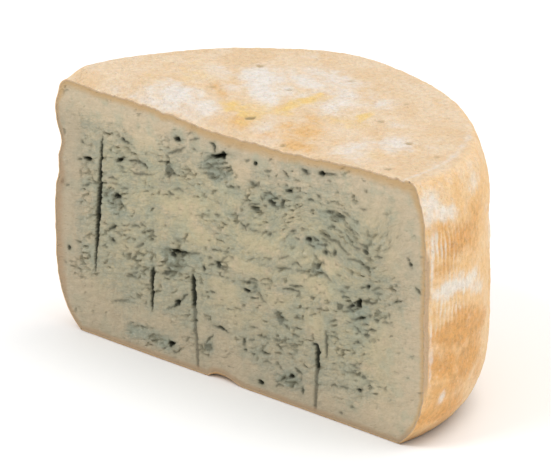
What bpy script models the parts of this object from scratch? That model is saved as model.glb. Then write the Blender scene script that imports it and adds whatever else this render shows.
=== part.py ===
"""Half a wheel of blue-veined goat cheese, cut down the middle and standing on its base.

The wheel is lofted from its side profile, halved by a slightly uneven cut, then opened by
the needle channels and mould pockets that show in the cut face, by the needle pits in the
top and by the crumbs missing along the front of the base. All lengths are in millimetres
with the wheel's axis upright through x = 0, y = 0 and the cut along y = 0; the last step
moves the base centre to the origin and turns the lengths into metres.
"""

import bpy
import numpy as np

METRES = 0.001
# Distance from the wheel's axis to the middle of the half wheel, and the sideways offset.
BOX_CENTRE = (1.37, 69.92)

# Wheel: greatest radius at the belly, drawn in towards the base and towards the top rim.
WHEEL_RADIUS = 140.0
BELLY_HEIGHT = 80.0
WHEEL_HEIGHT = 153.0
BASE_INSET = 18.8
BASE_POWER = 5.7
RIM_INSET = 8.4
RIM_POWER = 4.33
# The flat that the wheel was pressed to at the back left: its middle and reach in radians, its depth.
FLAT_ANGLE = 2.35
FLAT_REACH = 0.42
FLAT_DEPTH = 3.2
# Top surface: height over the axis before sagging, its rises, and how far its ends bow up.
TOP_HEIGHT = 152.8
TOP_RISE_X = -0.005
TOP_RISE_Y = 0.012
TOP_BOW = 0.8
# The top sags towards the cut: a fall left of a soft step, and a hollow near the middle.
LEFT_FALL = 5.2
LEFT_FALL_STEP = (20.0, 25.0)
LEFT_FALL_REACH = 9.0
HOLLOW_DEPTH = 3.4
HOLLOW_CENTRE = 12.0
HOLLOW_WIDTH = 64.0
HOLLOW_REACH = 46.0
# Rounding of the rim, wider at the left end than at the right.
RIM_ROUND_RIGHT = 5.0
RIM_ROUND_LEFT = 5.6
COLUMNS = 116
SIDE_ROWS = 22
CAP_ROWS = 9

# Needle channels opened by the cut: points down each one as (x, z, half width).
CHANNELS = {
    "long_channel": (
        (-102.6, 121.0, 0.15), (-103.2, 115.0, 0.8), (-104.3, 104.0, 1.0),
        (-104.6, 95.0, 1.4), (-105.0, 85.0, 1.6), (-106.1, 75.0, 1.6),
        (-106.9, 65.0, 1.3), (-107.6, 55.0, 1.0), (-108.5, 44.0, 0.7),
        (-108.9, 39.0, 0.15),
    ),
    "left_channel": (
        (-63.4, 53.0, 0.4), (-63.8, 50.0, 1.7), (-64.4, 45.0, 1.1),
        (-64.3, 37.0, 1.0), (-64.4, 31.0, 0.7), (-64.4, 27.0, 0.15),
    ),
    "middle_channel": (
        (-32.6, 56.6, 0.4), (-32.5, 54.0, 1.4), (-32.0, 46.0, 1.5),
        (-31.6, 36.0, 1.2), (-31.2, 28.0, 0.9), (-30.2, 20.0, 0.7),
        (-29.2, 10.0, 0.7), (-28.6, 3.0, 0.3),
    ),
    "right_channel": (
        (58.6, 40.4, 0.3), (61.2, 39.8, 1.1), (62.0, 36.0, 1.5),
        (61.7, 29.0, 1.3), (61.2, 20.0, 1.1), (60.8, 10.0, 0.9),
        (60.5, 3.5, 0.3),
    ),
}

# Mould pockets in the cut face: (x, z, length, height, slope in degrees, depth).
POCKETS = (
    (-12.6, 132.4, 13.0, 3.4, 20, 5.0),
    (-44.6, 134.0, 5.4, 2.6, 12, 3.0),
    (65.6, 141.8, 8.0, 2.8, 6, 4.0),
    (52.8, 139.6, 5.0, 2.4, -10, 2.5),
    (-86.0, 123.2, 3.4, 2.0, -8, 2.0),
    (-88.7, 111.0, 6.4, 2.4, 34, 3.0),
    (-74.5, 112.8, 9.0, 1.6, 2, 1.6),
    (-114.6, 105.0, 5.4, 2.2, 4, 2.6),
    (-117.5, 114.0, 2.8, 1.9, 0, 2.0),
    (-51.5, 114.0, 5.0, 7.0, 0, 2.4),
    (-91.4, 88.4, 5.4, 3.8, 30, 3.6),
    (-134.6, 86.4, 2.2, 4.0, -30, 1.8),
    (-94.7, 69.0, 5.4, 1.8, 34, 2.0),
    (-94.4, 61.3, 3.6, 2.3, 0, 2.2),
    (-129.3, 48.0, 3.0, 3.0, 0, 2.2),
    (-79.8, 44.2, 6.4, 2.4, 8, 2.0),
    (-45.2, 66.2, 12.5, 4.4, 8, 4.6),
    (-24.0, 63.0, 2.6, 3.2, 0, 2.4),
    (-13.4, 68.2, 4.0, 5.0, 0, 2.4),
    (-54.0, 52.4, 8.0, 2.4, 22, 2.2),
    (-44.6, 36.8, 7.0, 3.2, 40, 3.6),
    (-49.9, 10.6, 4.6, 4.2, 0, 3.2),
    (-11.0, 30.6, 9.6, 1.8, -6, 2.2),
    (-19.8, 17.0, 6.0, 4.6, 30, 2.0),
    (15.0, 134.5, 3.0, 2.6, 0, 2.4),
    (40.4, 125.0, 5.0, 2.2, 14, 2.4),
    (13.6, 122.0, 5.6, 2.0, -8, 1.8),
    (26.6, 115.2, 6.0, 3.0, -20, 2.4),
    (35.2, 117.0, 2.6, 5.4, 0, 1.8),
    (15.6, 108.2, 7.4, 2.2, -6, 1.8),
    (7.2, 96.0, 5.4, 3.4, 0, 2.0),
    (8.4, 58.3, 4.2, 2.3, -10, 2.4),
    (13.6, 65.6, 7.0, 2.0, 6, 1.8),
    (33.6, 48.8, 7.0, 6.4, 0, 1.8),
    (6.6, 28.2, 2.6, 4.6, 0, 1.8),
    (19.6, 7.0, 4.6, 2.9, -16, 3.0),
    (42.2, 16.6, 4.4, 3.2, 30, 2.8),
    (56.0, 100.9, 4.6, 2.6, 0, 2.6),
    (68.2, 96.6, 4.4, 3.0, 0, 2.0),
    (75.4, 98.6, 3.0, 4.2, -20, 1.8),
    (76.0, 121.0, 9.0, 2.0, -10, 1.8),
    (98.0, 106.0, 5.6, 3.2, -24, 2.4),
    (62.0, 86.6, 4.4, 5.6, 0, 2.0),
    (100.2, 85.5, 3.6, 2.6, 20, 2.6),
    (92.6, 73.6, 7.4, 4.6, 34, 4.6),
    (79.2, 67.6, 3.6, 4.2, 0, 1.8),
    (95.6, 65.6, 6.4, 2.2, 14, 2.2),
    (92.4, 51.0, 3.4, 1.8, 4, 2.0),
    (74.0, 57.8, 5.4, 1.7, 18, 1.6),
    (93.6, 23.0, 4.2, 2.9, 0, 2.8),
    (131.0, 106.4, 2.0, 4.4, 16, 1.8),
    (44.6, 69.4, 9.0, 1.7, 14, 1.6),
)

# Needle pits in the top: (x, y, width, depth).
TOP_PITS = (
    (-57.3, 80.3, 5.0, 1.8), (-2.0, 95.8, 5.0, 1.8), (45.3, 89.8, 4.6, 1.6),
    (-18.5, 62.5, 4.4, 2.2), (52.4, 61.2, 4.6, 2.0), (88.7, 44.0, 4.6, 2.2),
    (112.5, 40.2, 4.4, 1.6), (-54.2, 38.7, 4.6, 1.8), (-7.5, 20.3, 5.6, 2.4),
    (106.4, 8.1, 4.6, 2.0), (31.1, 5.4, 4.4, 1.8),
)

# Crumbs missing along the front of the base: the outline of the notch as (x, z), its depth.
BASE_NOTCH = (
    (-21.0, -3.0), (-19.2, 0.9), (-16.4, 2.4), (-13.6, 3.7), (-10.0, 4.0), (-6.6, 3.3),
    (-3.4, 2.0), (0.6, 1.3), (4.4, 0.6), (6.0, -3.0),
)
NOTCH_DEPTH = 5.0

CUT_CELLS = (54, 28)
POCKET_SIDES = 7
PASTE_COLOUR = (0.52, 0.46, 0.31, 1.0)


def clear_scene():
    """An empty scene to build in."""
    for item in list(bpy.data.objects):
        bpy.data.objects.remove(item, do_unlink=True)


def mesh_object(name, points, faces):
    """A smooth-shaded mesh object from points in millimetres."""
    mesh = bpy.data.meshes.new(name)
    offset = np.array([BOX_CENTRE[0], BOX_CENTRE[1], 0.0])
    mesh.from_pydata(((np.asarray(points) - offset) * METRES).tolist(), [], faces)
    mesh.update()
    for face in mesh.polygons:
        face.use_smooth = True
    built = bpy.data.objects.new(name, mesh)
    bpy.context.scene.collection.objects.link(built)
    return built


def grid_faces(rows, columns, closed):
    """Quads over a grid of points counted row by row, its last column joined to the first if closed."""
    reach = columns if closed else columns - 1
    return [
        (
            row * columns + column,
            row * columns + (column + 1) % columns,
            (row + 1) * columns + (column + 1) % columns,
            (row + 1) * columns + column,
        )
        for row in range(rows - 1)
        for column in range(reach)
    ]


def side_radius(height):
    """Radius of the round wheel: the belly less a power of the way down to the base or up to the rim."""
    down = np.clip((BELLY_HEIGHT - height) / BELLY_HEIGHT, 0.0, 1.0)
    up = np.clip((height - BELLY_HEIGHT) / (WHEEL_HEIGHT - BELLY_HEIGHT), 0.0, 1.2)
    return WHEEL_RADIUS - BASE_INSET * down**BASE_POWER - RIM_INSET * up**RIM_POWER


def out_of_round(angle):
    """How far the wheel departs from a circle: sines of the angle's multiples, less a flat at the back left."""
    flat = FLAT_DEPTH * np.exp(-(((angle - FLAT_ANGLE) / FLAT_REACH) ** 2))
    return (
        0.34 * np.cos(2 * angle) - 0.23 * np.sin(2 * angle)
        + 0.75 * np.cos(3 * angle) + 0.81 * np.sin(3 * angle)
        + 1.20 * np.cos(4 * angle) + 2.78 * np.sin(4 * angle) - flat
    )


def side_dents(angle, height):
    """Press marks on the side: waists at the left end and on the right side, and low lumps all round."""
    along = (np.pi - angle) * WHEEL_RADIUS
    near_left_end = np.exp(-((along / 34.0) ** 2))
    dent = -0.6 - 4.2 * np.exp(-(((height - 110.0) / 8.5) ** 2))
    dent = dent - 2.2 * np.exp(-(((height - 93.0) / 8.0) ** 2))
    dent = dent + 1.6 * np.exp(-(((height - 131.0) / 6.0) ** 2))
    near_right_side = np.exp(-(((angle - 0.76) / 0.3) ** 2))
    waist = -1.5 * np.exp(-(((height - 108.0) / 7.5) ** 2)) - 1.1 * np.exp(-(((height - 32.0) / 19.0) ** 2))
    waist = waist + 0.5 * np.exp(-(((height - 71.0) / 10.0) ** 2))
    lumps = 0.35 * np.sin(9.0 * angle + height / 15.0) + 0.25 * np.sin(17.0 * angle - height / 21.0)
    pressed = near_left_end * dent + near_right_side * waist
    return pressed + lumps * np.clip(height / 20.0, 0.0, 1.0)


def top_height(x, y):
    """Height of the top: a bowed plane, less a fall and a hollow that fade behind the cut, and low lumps."""
    plane = TOP_HEIGHT + TOP_RISE_X * x + TOP_RISE_Y * y + TOP_BOW * (x / WHEEL_RADIUS) ** 2
    fall = LEFT_FALL / (1.0 + np.exp((x - LEFT_FALL_STEP[0]) / LEFT_FALL_STEP[1]))
    fall = fall * np.exp(-((np.maximum(y, 0.0) / LEFT_FALL_REACH) ** 2))
    hollow = HOLLOW_DEPTH * np.exp(-(((x - HOLLOW_CENTRE) / HOLLOW_WIDTH) ** 2))
    hollow = hollow * np.exp(-((np.maximum(y, 0.0) / HOLLOW_REACH) ** 2))
    lumps = 0.35 * np.sin(x / 13.0 + y / 31.0) + 0.25 * np.sin(y / 11.0 - x / 27.0)
    return plane - fall - hollow + lumps


def wheel_rings():
    """Rings of points from the base to the top, each one round the wheel."""
    angle = np.linspace(0.0, 2.0 * np.pi, COLUMNS, endpoint=False)
    bend = np.minimum(angle, 2.0 * np.pi - angle)
    direction = np.stack([np.cos(angle), np.sin(angle)], axis=-1)
    rim_radius = side_radius(TOP_HEIGHT) + out_of_round(angle)
    rim = direction * rim_radius[:, None]
    rim_top = top_height(rim[:, 0], rim[:, 1])
    rounding = RIM_ROUND_RIGHT + (RIM_ROUND_LEFT - RIM_ROUND_RIGHT) * (1.0 - np.cos(angle)) / 2.0
    shoulder = rim_top - 0.75 * rounding
    pole = np.array([0.0, -45.0])
    rings = []
    foot = direction * (side_radius(0.0) + out_of_round(angle) + side_dents(bend, 0.0))[:, None]
    for part in (0.55, 0.98, 1.0):
        plan = pole + (foot - pole) * part
        rings.append(np.column_stack([plan, np.zeros(COLUMNS)]))
    for step in np.linspace(0.0, 1.0, SIDE_ROWS)[1:]:
        height = shoulder * step**0.92
        radius = side_radius(height) + out_of_round(angle) + side_dents(bend, height)
        rings.append(np.column_stack([direction * radius[:, None], height]))
    inner = rim - direction * rounding[:, None] * 0.9
    inner_top = top_height(inner[:, 0], inner[:, 1])
    start = rings[-1]
    corner = np.column_stack([rim, rim_top])
    end = np.column_stack([inner, inner_top])
    for step in (0.3, 0.6, 1.0):
        rings.append((1 - step) ** 2 * start + 2 * step * (1 - step) * corner + step**2 * end)
    for step in np.linspace(1.0, 0.12, CAP_ROWS)[1:]:
        plan = pole + (inner - pole) * step
        rings.append(np.column_stack([plan, top_height(plan[:, 0], plan[:, 1])]))
    return rings, pole


def whole_wheel():
    """The wheel before it is cut: its rings closed by a flat fan under the base and a fan in the top."""
    rings, pole = wheel_rings()
    points = np.concatenate(rings)
    faces = grid_faces(len(rings), COLUMNS, True)
    low = len(points)
    high = low + 1
    points = np.vstack([points, [*pole, 0.0], [*pole, top_height(*pole)]])
    last = low - COLUMNS
    for column in range(COLUMNS):
        following = (column + 1) % COLUMNS
        faces.append((low, following, column))
        faces.append((high, last + column, last + following))
    return mesh_object("cheese", points, faces)


def cut_surface(x, z):
    """Depth of the cut along y: long knife waves and short crags where the crumbly paste tore."""
    waves = 0.35 * np.sin(x / 37.0 + z / 60.0) + 0.25 * np.sin(z / 17.0 - x / 90.0)
    crags = 0.30 * np.sin(x / 3.1 + 2.0 * np.sin(z / 9.0)) * np.sin(z / 2.3 + 1.7 * np.sin(x / 11.0))
    middle = np.exp(-((x / 112.0) ** 6) - ((z - 78.0) / 64.0) ** 6)
    return waves + crags * (0.35 + 0.65 * middle)


def cut_block():
    """Everything in front of the cut, as a block with the uneven cut as its back face."""
    across, up = CUT_CELLS
    x, z = np.meshgrid(np.linspace(-156.0, 156.0, across + 1), np.linspace(-9.0, 165.0, up + 1))
    back = np.stack([x, cut_surface(x, z), z], axis=-1).reshape(-1, 3)
    front = back.copy()
    front[:, 1] = -190.0
    columns = across + 1
    count = len(back)
    faces = [tuple(reversed(face)) for face in grid_faces(up + 1, columns, False)]
    border = list(range(columns)) + [row * columns + across for row in range(1, up + 1)]
    border += [up * columns + column for column in range(across - 1, -1, -1)]
    border += [row * columns for row in range(up - 1, 0, -1)]
    for here, following in zip(border, border[1:] + border[:1]):
        faces.append((here, following, following + count, here + count))
    used = sorted(set(border))
    place = {corner: index for index, corner in enumerate(used)}
    points = np.vstack([back, front[used]])
    faces = [
        tuple(count + place[corner - count] if corner >= count else corner for corner in face)
        for face in faces
    ]
    faces.append(tuple(count + place[corner] for corner in border))
    return mesh_object("cut_block", points, faces)


def closed_rings(rings, tips):
    """A closed shell through rings of equal count, with a point at each end."""
    count = len(rings[0])
    points = np.vstack([*rings, tips])
    faces = grid_faces(len(rings), count, True)
    low = len(rings) * count
    last = low - count
    for step in range(count):
        following = (step + 1) % count
        faces.append((low, following, step))
        faces.append((low + 1, last + step, last + following))
    return points, faces


def outward(points, faces):
    """The same shell with its faces turned outwards."""
    volume = 0.0
    for face in faces:
        first = points[face[0]]
        for second, third in zip(face[1:-1], face[2:]):
            volume += np.dot(first, np.cross(points[second], points[third]))
    return faces if volume > 0 else [tuple(reversed(face)) for face in faces]


def cutter(name, shells):
    """One hidden cutter made of separate closed shells."""
    points, faces, count = [], [], 0
    for shell_points, shell_faces in shells:
        points.append(shell_points)
        faces += [tuple(count + corner for corner in face) for face in outward(shell_points, shell_faces)]
        count += len(shell_points)
    return mesh_object(name, np.vstack(points), faces)


def channel_shell(course):
    """A needle channel: six-sided rings along its course, as deep as it is wide, pointed at both ends."""
    rings = []
    turn = np.radians(np.arange(0, 360, 60) + 30.0)
    for x, z, half_width in course:
        side = x + 1.15 * half_width * np.cos(turn)
        deep = cut_surface(x, z) + 1.5 * half_width * np.sin(turn)
        rings.append(np.stack([side, deep, np.full(6, z)], axis=-1))
    (top_x, top_z, _), (low_x, low_z, _) = course[0], course[-1]
    tips = np.array([
        [top_x, cut_surface(top_x, top_z), top_z + 1.0],
        [low_x, cut_surface(low_x, low_z), low_z - 1.0],
    ])
    return closed_rings(rings, tips)


def pocket_shell(x, z, length, height, slope, depth, source):
    """A mould pocket: a lens-shaped ball squeezed to its size, with a ragged edge."""
    around = np.linspace(0.0, 2.0 * np.pi, POCKET_SIDES, endpoint=False)
    lean = np.radians(slope)
    rings = []
    for latitude in np.radians([-36.0, 8.0, 50.0]):
        ragged = 1.0 + 0.16 * source.standard_normal(POCKET_SIDES).clip(-1.4, 1.4)
        along = 0.5 * length * np.cos(latitude) * np.cos(around) * ragged
        rise = 0.5 * height * np.cos(latitude) * np.sin(around) * ragged
        rings.append(np.stack([
            x + along * np.cos(lean) - rise * np.sin(lean),
            cut_surface(x, z) + depth * np.sin(latitude) * np.ones(POCKET_SIDES),
            z + along * np.sin(lean) + rise * np.cos(lean),
        ], axis=-1))
    middle = cut_surface(x, z)
    tips = np.array([[x, middle - depth, z], [x, middle + depth, z]])
    return closed_rings(rings, tips)


def pit_shell(x, y, width, depth, source):
    """A shallow needle pit in the top, an uneven cone."""
    around = np.radians(np.arange(0, 360, 45))
    level = top_height(x, y)
    rings = []
    for rise, part in ((2.0, 1.25), (0.0, 1.0), (-0.6 * depth, 0.55)):
        ragged = 1.0 + 0.12 * source.standard_normal(8).clip(-1.4, 1.4)
        rings.append(np.stack([
            x + 0.5 * width * part * np.cos(around) * ragged,
            y + 0.5 * width * part * np.sin(around) * ragged,
            np.full(8, level + rise),
        ], axis=-1))
    return closed_rings(rings, np.array([[x, y, level + 3.0], [x, y, level - depth]]))


def notch_shell():
    """The crumbs missing under the cut: the notch's outline run back, lower and narrower as it goes."""
    outline = np.array(BASE_NOTCH)
    middle = outline[:, 0].mean()
    rings = []
    for depth, part in ((-6.0, 1.0), (1.5, 1.0), (0.7 * NOTCH_DEPTH, 0.75), (NOTCH_DEPTH, 0.4)):
        x = middle + (outline[:, 0] - middle) * (0.6 + 0.4 * part)
        z = np.where(outline[:, 1] > 0.0, outline[:, 1] * part, outline[:, 1])
        rings.append(np.column_stack([x, np.full(len(x), depth), z]))
    tips = np.array([[middle, -7.0, 0.0], [middle, NOTCH_DEPTH + 0.6, -1.0]])
    return closed_rings(rings, tips)


def cut_away(body, tool, label, solver="EXACT"):
    """Takes one cutter out of the body."""
    tool.hide_render = True
    tool.display_type = "WIRE"
    change = body.modifiers.new(label, "BOOLEAN")
    change.operation = "DIFFERENCE"
    change.solver = solver
    change.object = tool


def paste_material():
    """Moist cream paste, the colour of the whole solid."""
    made = bpy.data.materials.new("paste")
    made.use_nodes = True
    shader = made.node_tree.nodes["Principled BSDF"]
    shader.inputs["Base Color"].default_value = PASTE_COLOUR
    shader.inputs["Roughness"].default_value = 0.55
    shader.inputs["Metallic"].default_value = 0.0
    return made


def cheese():
    """The half wheel: the whole one less the cut, the channels, the pockets, the pits and the crumbs."""
    source = np.random.default_rng(31)
    body = whole_wheel()
    cut_away(body, cut_block(), "cut")
    cut_away(body, cutter("base_notch", [notch_shell()]), "base notch", "MANIFOLD")
    channels = [channel_shell(course) for course in CHANNELS.values()]
    cut_away(body, cutter("channels", channels), "channels")
    pockets = [pocket_shell(*row, source) for row in POCKETS]
    cut_away(body, cutter("pockets", pockets), "pockets")
    pits = [pit_shell(*row, source) for row in TOP_PITS]
    cut_away(body, cutter("top_pits", pits), "top pits")
    body.data.materials.append(paste_material())
    return body


clear_scene()
cheese()
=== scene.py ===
"""The looks of half a wheel of blue-veined goat cheese: its washed rind and its crumbly cut face.

Sizes and places are in millimetres in the wheel's own frame, turned into metres in the frame's
axes when a mesh is made. The wheel's axis stands upright through x = 0, y = 0, the knife cut
runs along y = 0 with the cheese behind it, and the base lies at z = 0. Angles go round the
axis from the right end of the cut, 0 degrees, to its left end, 180 degrees.
"""

import bmesh
import bpy
import numpy as np
from mathutils import Matrix, Vector


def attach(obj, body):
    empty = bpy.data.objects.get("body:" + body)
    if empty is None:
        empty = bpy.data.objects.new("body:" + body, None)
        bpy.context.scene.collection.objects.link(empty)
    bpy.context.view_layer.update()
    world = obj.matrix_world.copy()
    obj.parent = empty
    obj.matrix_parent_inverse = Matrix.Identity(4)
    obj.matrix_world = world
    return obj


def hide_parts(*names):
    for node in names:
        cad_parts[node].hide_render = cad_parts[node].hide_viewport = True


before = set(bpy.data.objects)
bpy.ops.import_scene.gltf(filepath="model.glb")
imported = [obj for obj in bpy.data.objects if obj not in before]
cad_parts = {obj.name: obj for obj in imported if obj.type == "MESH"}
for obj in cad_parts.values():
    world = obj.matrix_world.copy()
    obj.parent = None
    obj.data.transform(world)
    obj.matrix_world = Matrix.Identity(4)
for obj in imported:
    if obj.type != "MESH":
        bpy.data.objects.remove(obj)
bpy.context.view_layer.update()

# RIND
# The washed rind: a thin, dry skin that the brine and the brushing turned peach and orange, with
# white bloom in patches, press marks at the left end and the holes of the piercing needles. It is
# one closed shell round the half wheel, and its front is open for the paste that the knife bared.

METRES = 0.001
WHEEL_AXIS = (-1.37, -69.92)
WHEEL_RADIUS = 140.0
BELLY_HEIGHT = 80.0
WHEEL_HEIGHT = 153.0
TOP_HEIGHT = 152.8
MIDDLE_HEIGHT = 75.0
RIM_ROUND_RIGHT = 5.0
RIM_ROUND_LEFT = 5.6
# The skin's grid: columns round the half wheel and rows over the base, side, rim and top.
SKIN_COLUMNS = 330
BASE_ROWS = 7
SIDE_ROWS = 122
RIM_ROWS = 8
TOP_ROWS = 108
# How much of the rind shows as a ring round the cut, and how deep the paste sits in it.
RING_WIDTH = 1.1
PLUG_DEPTH = 9.0
PLUG_TAPER = 2.5
# Faces that meet at more than this many degrees keep a crisp edge, as the skin and the cut do.
CREASE_ANGLE = 70.0
# In metres: a mesh's points that are closer than this are welded.
WELD_DISTANCE = 2e-6
# Noise repeats after this many squares of its lattice.
LATTICE = 512


def bell(value, middle, width):
    """A hump: 1 at the middle, falling to 0 on both sides as e to the minus square of the distance."""
    return np.exp(-(((value - middle) / width) ** 2))


def side_radius(height):
    """Radius of the round wheel: the belly less a power of the way down to the base or up to the rim."""
    down = np.clip((BELLY_HEIGHT - height) / BELLY_HEIGHT, 0.0, 1.0)
    up = np.clip((height - BELLY_HEIGHT) / (WHEEL_HEIGHT - BELLY_HEIGHT), 0.0, 1.2)
    return WHEEL_RADIUS - 18.8 * down**5.7 - 8.4 * up**4.33


def out_of_round(angle):
    """How far the wheel departs from a circle: sines of the angle's multiples, less a flat at the back."""
    return (
        0.34 * np.cos(2 * angle) - 0.23 * np.sin(2 * angle)
        + 0.75 * np.cos(3 * angle) + 0.81 * np.sin(3 * angle)
        + 1.20 * np.cos(4 * angle) + 2.78 * np.sin(4 * angle) - 3.2 * bell(angle, 2.35, 0.42)
    )


def side_dents(angle, height):
    """Press marks: waists at the left end and on the right side, and low lumps all round."""
    from_left_end = (np.pi - angle) * WHEEL_RADIUS
    dent = -0.6 - 4.2 * bell(height, 110.0, 8.5) - 2.2 * bell(height, 93.0, 8.0)
    dent = dent + 1.6 * bell(height, 131.0, 6.0)
    waist = -1.5 * bell(height, 108.0, 7.5) - 1.1 * bell(height, 32.0, 19.0)
    waist = waist + 0.5 * bell(height, 71.0, 10.0)
    pressed = bell(from_left_end, 0.0, 34.0) * dent + bell(angle, 0.76, 0.3) * waist
    lumps = 0.35 * np.sin(9.0 * angle + height / 15.0) + 0.25 * np.sin(17.0 * angle - height / 21.0)
    return pressed + lumps * np.clip(height / 20.0, 0.0, 1.0)


def top_height(x, y):
    """Height of the top: a bowed plane with low lumps, less a fall and a hollow fading behind the cut."""
    plane = TOP_HEIGHT - 0.005 * x + 0.012 * y + 0.8 * (x / WHEEL_RADIUS) ** 2
    behind = np.maximum(y, 0.0)
    fall = 5.2 / (1.0 + np.exp((x - 20.0) / 25.0)) * bell(behind, 0.0, 9.0)
    hollow = 3.4 * bell(x, 12.0, 64.0) * bell(behind, 0.0, 46.0)
    lumps = 0.35 * np.sin(x / 13.0 + y / 31.0) + 0.25 * np.sin(y / 11.0 - x / 27.0)
    return plane - fall - hollow + lumps


def cut_waves(x, z):
    """Depth of the cut along y: the long waves that the knife left."""
    return 0.35 * np.sin(x / 37.0 + z / 60.0) + 0.25 * np.sin(z / 17.0 - x / 90.0)


def notch_height(x):
    """Height of the crumbs missing along the front of the base: a lopsided arch from x = -20 to 5."""
    share = np.clip((x + 20.0) / 25.0, 0.0, 1.0)
    return 4.4 * np.sin(np.pi * share**0.72) ** 0.9 * (1.0 - 0.45 * share)


def value_noise(across, along, size, seed):
    """Smooth noise from -1 to 1: random values on a square lattice of that size, eased between corners."""
    lattice = np.random.default_rng(seed).uniform(-1.0, 1.0, (LATTICE, LATTICE))
    column, row = np.floor(across / size).astype(int), np.floor(along / size).astype(int)
    share, rise = across / size - column, along / size - row
    share, rise = share * share * (3 - 2 * share), rise * rise * (3 - 2 * rise)

    def corner(right, up):
        """The random value that many corners to the right and up."""
        return lattice[(column + right) % LATTICE, (row + up) % LATTICE]

    near = corner(0, 0) * (1 - share) + corner(1, 0) * share
    far = corner(0, 1) * (1 - share) + corner(1, 1) * share
    return near * (1 - rise) + far * rise


def layered_noise(across, along, size, seed, layers=3):
    """Value noise in layers, each half as wide and half as strong as the one before."""
    total = sum(
        value_noise(across, along, size / 2**layer, seed + layer) / 2**layer for layer in range(layers)
    )
    return total / (2.0 - 0.5 ** (layers - 1))


def ease(value, low, high):
    """From 0 at low to 1 at high, eased at both ends."""
    share = np.clip((value - low) / (high - low), 0.0, 1.0)
    return share * share * (3 - 2 * share)


def grid_quads(rows, columns, start=0):
    """Corner numbers of the quads of a grid of points counted row by row."""
    corner = start + np.arange(rows * columns).reshape(rows, columns)
    quads = np.stack([corner[:-1, :-1], corner[:-1, 1:], corner[1:, 1:], corner[1:, :-1]], axis=-1)
    return quads.reshape(-1, 4)


def new_object(name, data):
    """An object in the scene for this mesh, camera or light."""
    made = bpy.data.objects.new(name, data)
    bpy.context.scene.collection.objects.link(made)
    return made


def closed_piece(name, points, quads, triangles, fields):
    """A smooth mesh object: its points in metres, faces, and one attribute for each field, welded shut."""
    placed = (points + np.array([*WHEEL_AXIS, 0.0])) * METRES
    mesh = bpy.data.meshes.new(name)
    mesh.from_pydata(placed.tolist(), [], quads.tolist() + triangles.tolist())
    for label, values in fields.items():
        kind, member = ("FLOAT_VECTOR", "vector") if values.ndim == 2 else ("FLOAT", "value")
        layer = mesh.attributes.new(label, kind, "POINT")
        layer.data.foreach_set(member, values.astype(np.float32).ravel())
    welded = bmesh.new()
    welded.from_mesh(mesh)
    bmesh.ops.remove_doubles(welded, verts=welded.verts, dist=WELD_DISTANCE)
    bmesh.ops.recalc_face_normals(welded, faces=welded.faces)
    welded.to_mesh(mesh)
    welded.free()
    mesh.shade_smooth()
    mesh.set_sharp_from_angle(angle=np.radians(CREASE_ANGLE))
    return new_object(name, mesh)


def skin_angles():
    """Angles of the skin's columns, closer together at the right end, where the side shows."""
    share = np.linspace(0.0, 1.0, SKIN_COLUMNS)
    return np.pi * (0.62 * share + 0.38 * share**2)


# Needle holes in the top: (x, y, width, how deep). The deepest one sinks the skin by PIT_DEPTH.
DEEPEST_PIT = 2.4
PIT_DEPTH = 1.3
TOP_PITS = (
    (-57.3, 80.3, 5, 1.3), (-2, 95.8, 5, 1), (45.3, 89.8, 4.6, 0.9), (-18.5, 62.5, 4.4, 1),
    (52.4, 61.2, 4.6, 1.2), (88.7, 44, 4.6, 1.4), (112.5, 40.2, 4.4, 1), (-54.2, 38.7, 4.6, 1),
    (-7.5, 20.3, 5.6, 2.4), (106.4, 8.1, 4.6, 1.2), (31.1, 5.4, 4.4, 1.4),
)
# Bloom, yellow and orange on the top: (x, y, half length, half width, turn in degrees, strength).
TOP_BLOOM = (
    (2, 78, 40, 20, -10, 0.5), (-42, 67, 20, 13, -35, 1), (-25, 50, 19, 9, -42, 1),
    (-12, 91, 25, 13, -12, 0.7), (13, 72, 13, 20, 28, 0.8), (18, 57, 12, 8, -30, 0.75),
    (-67, 58, 13, 8, -25, 0.45), (-63, 18, 19, 12, -12, 1), (-38, 14, 15, 9, -20, 0.8),
    (-58, 5, 32, 5, 0, 0.7), (6, 16, 7, 13, 24, 0.6), (16, 6, 12, 5, 0, 0.4), (85, 38, 13, 10, -30, 0.8),
    (70, 22, 11, 17, 18, 0.65), (84, 10, 17, 6, 0, 0.35), (64, 60, 9, 5, -10, 0.5),
    (36, 81, 12, 7, -25, 0.7), (102, 52, 8, 10, 30, 0.3), (-20, 77, 18, 9, -15, 0.95),
    (-45, 44, 9, 6, 0, 0.45), (-88, 10, 10, 5, 0, 0.3), (-6, 64, 6, 10, 0, 0.5),
    (-22, 61, 12, 9, -35, 0.75), (10, 62, 12, 12, 0, 0.5), (-4, 96, 16, 7, -10, 0.65),
    (22, 86, 12, 7, -20, 0.4), (-45, 112, 12, 6, 20, 0.35),
)
TOP_YELLOW = (
    (2, 61, 6, 12, -14, 1), (-2, 45, 6, 10, 14, 0.9), (-28, 27, 10, 5.5, -52, 1.1),
    (-16, 23, 10, 5, -40, 0.95), (41, 60, 4.5, 12, 18, 0.9), (21, 73, 5, 6, 0, 0.3),
    (-14, 27, 20, 11, -35, 0.7), (0, 38, 9, 9, 0, 0.65), (44, 50, 10, 8, 0, 0.5), (90, 18, 12, 6, -25, 0.4),
    (-70, 40, 14, 12, 0, 0.4), (30, 47, 9, 5, -20, 0.5), (-86, 26, 12, 8, 0, 0.3),
    (-86, 60, 10, 8, 0, 0.25),
)
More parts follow.
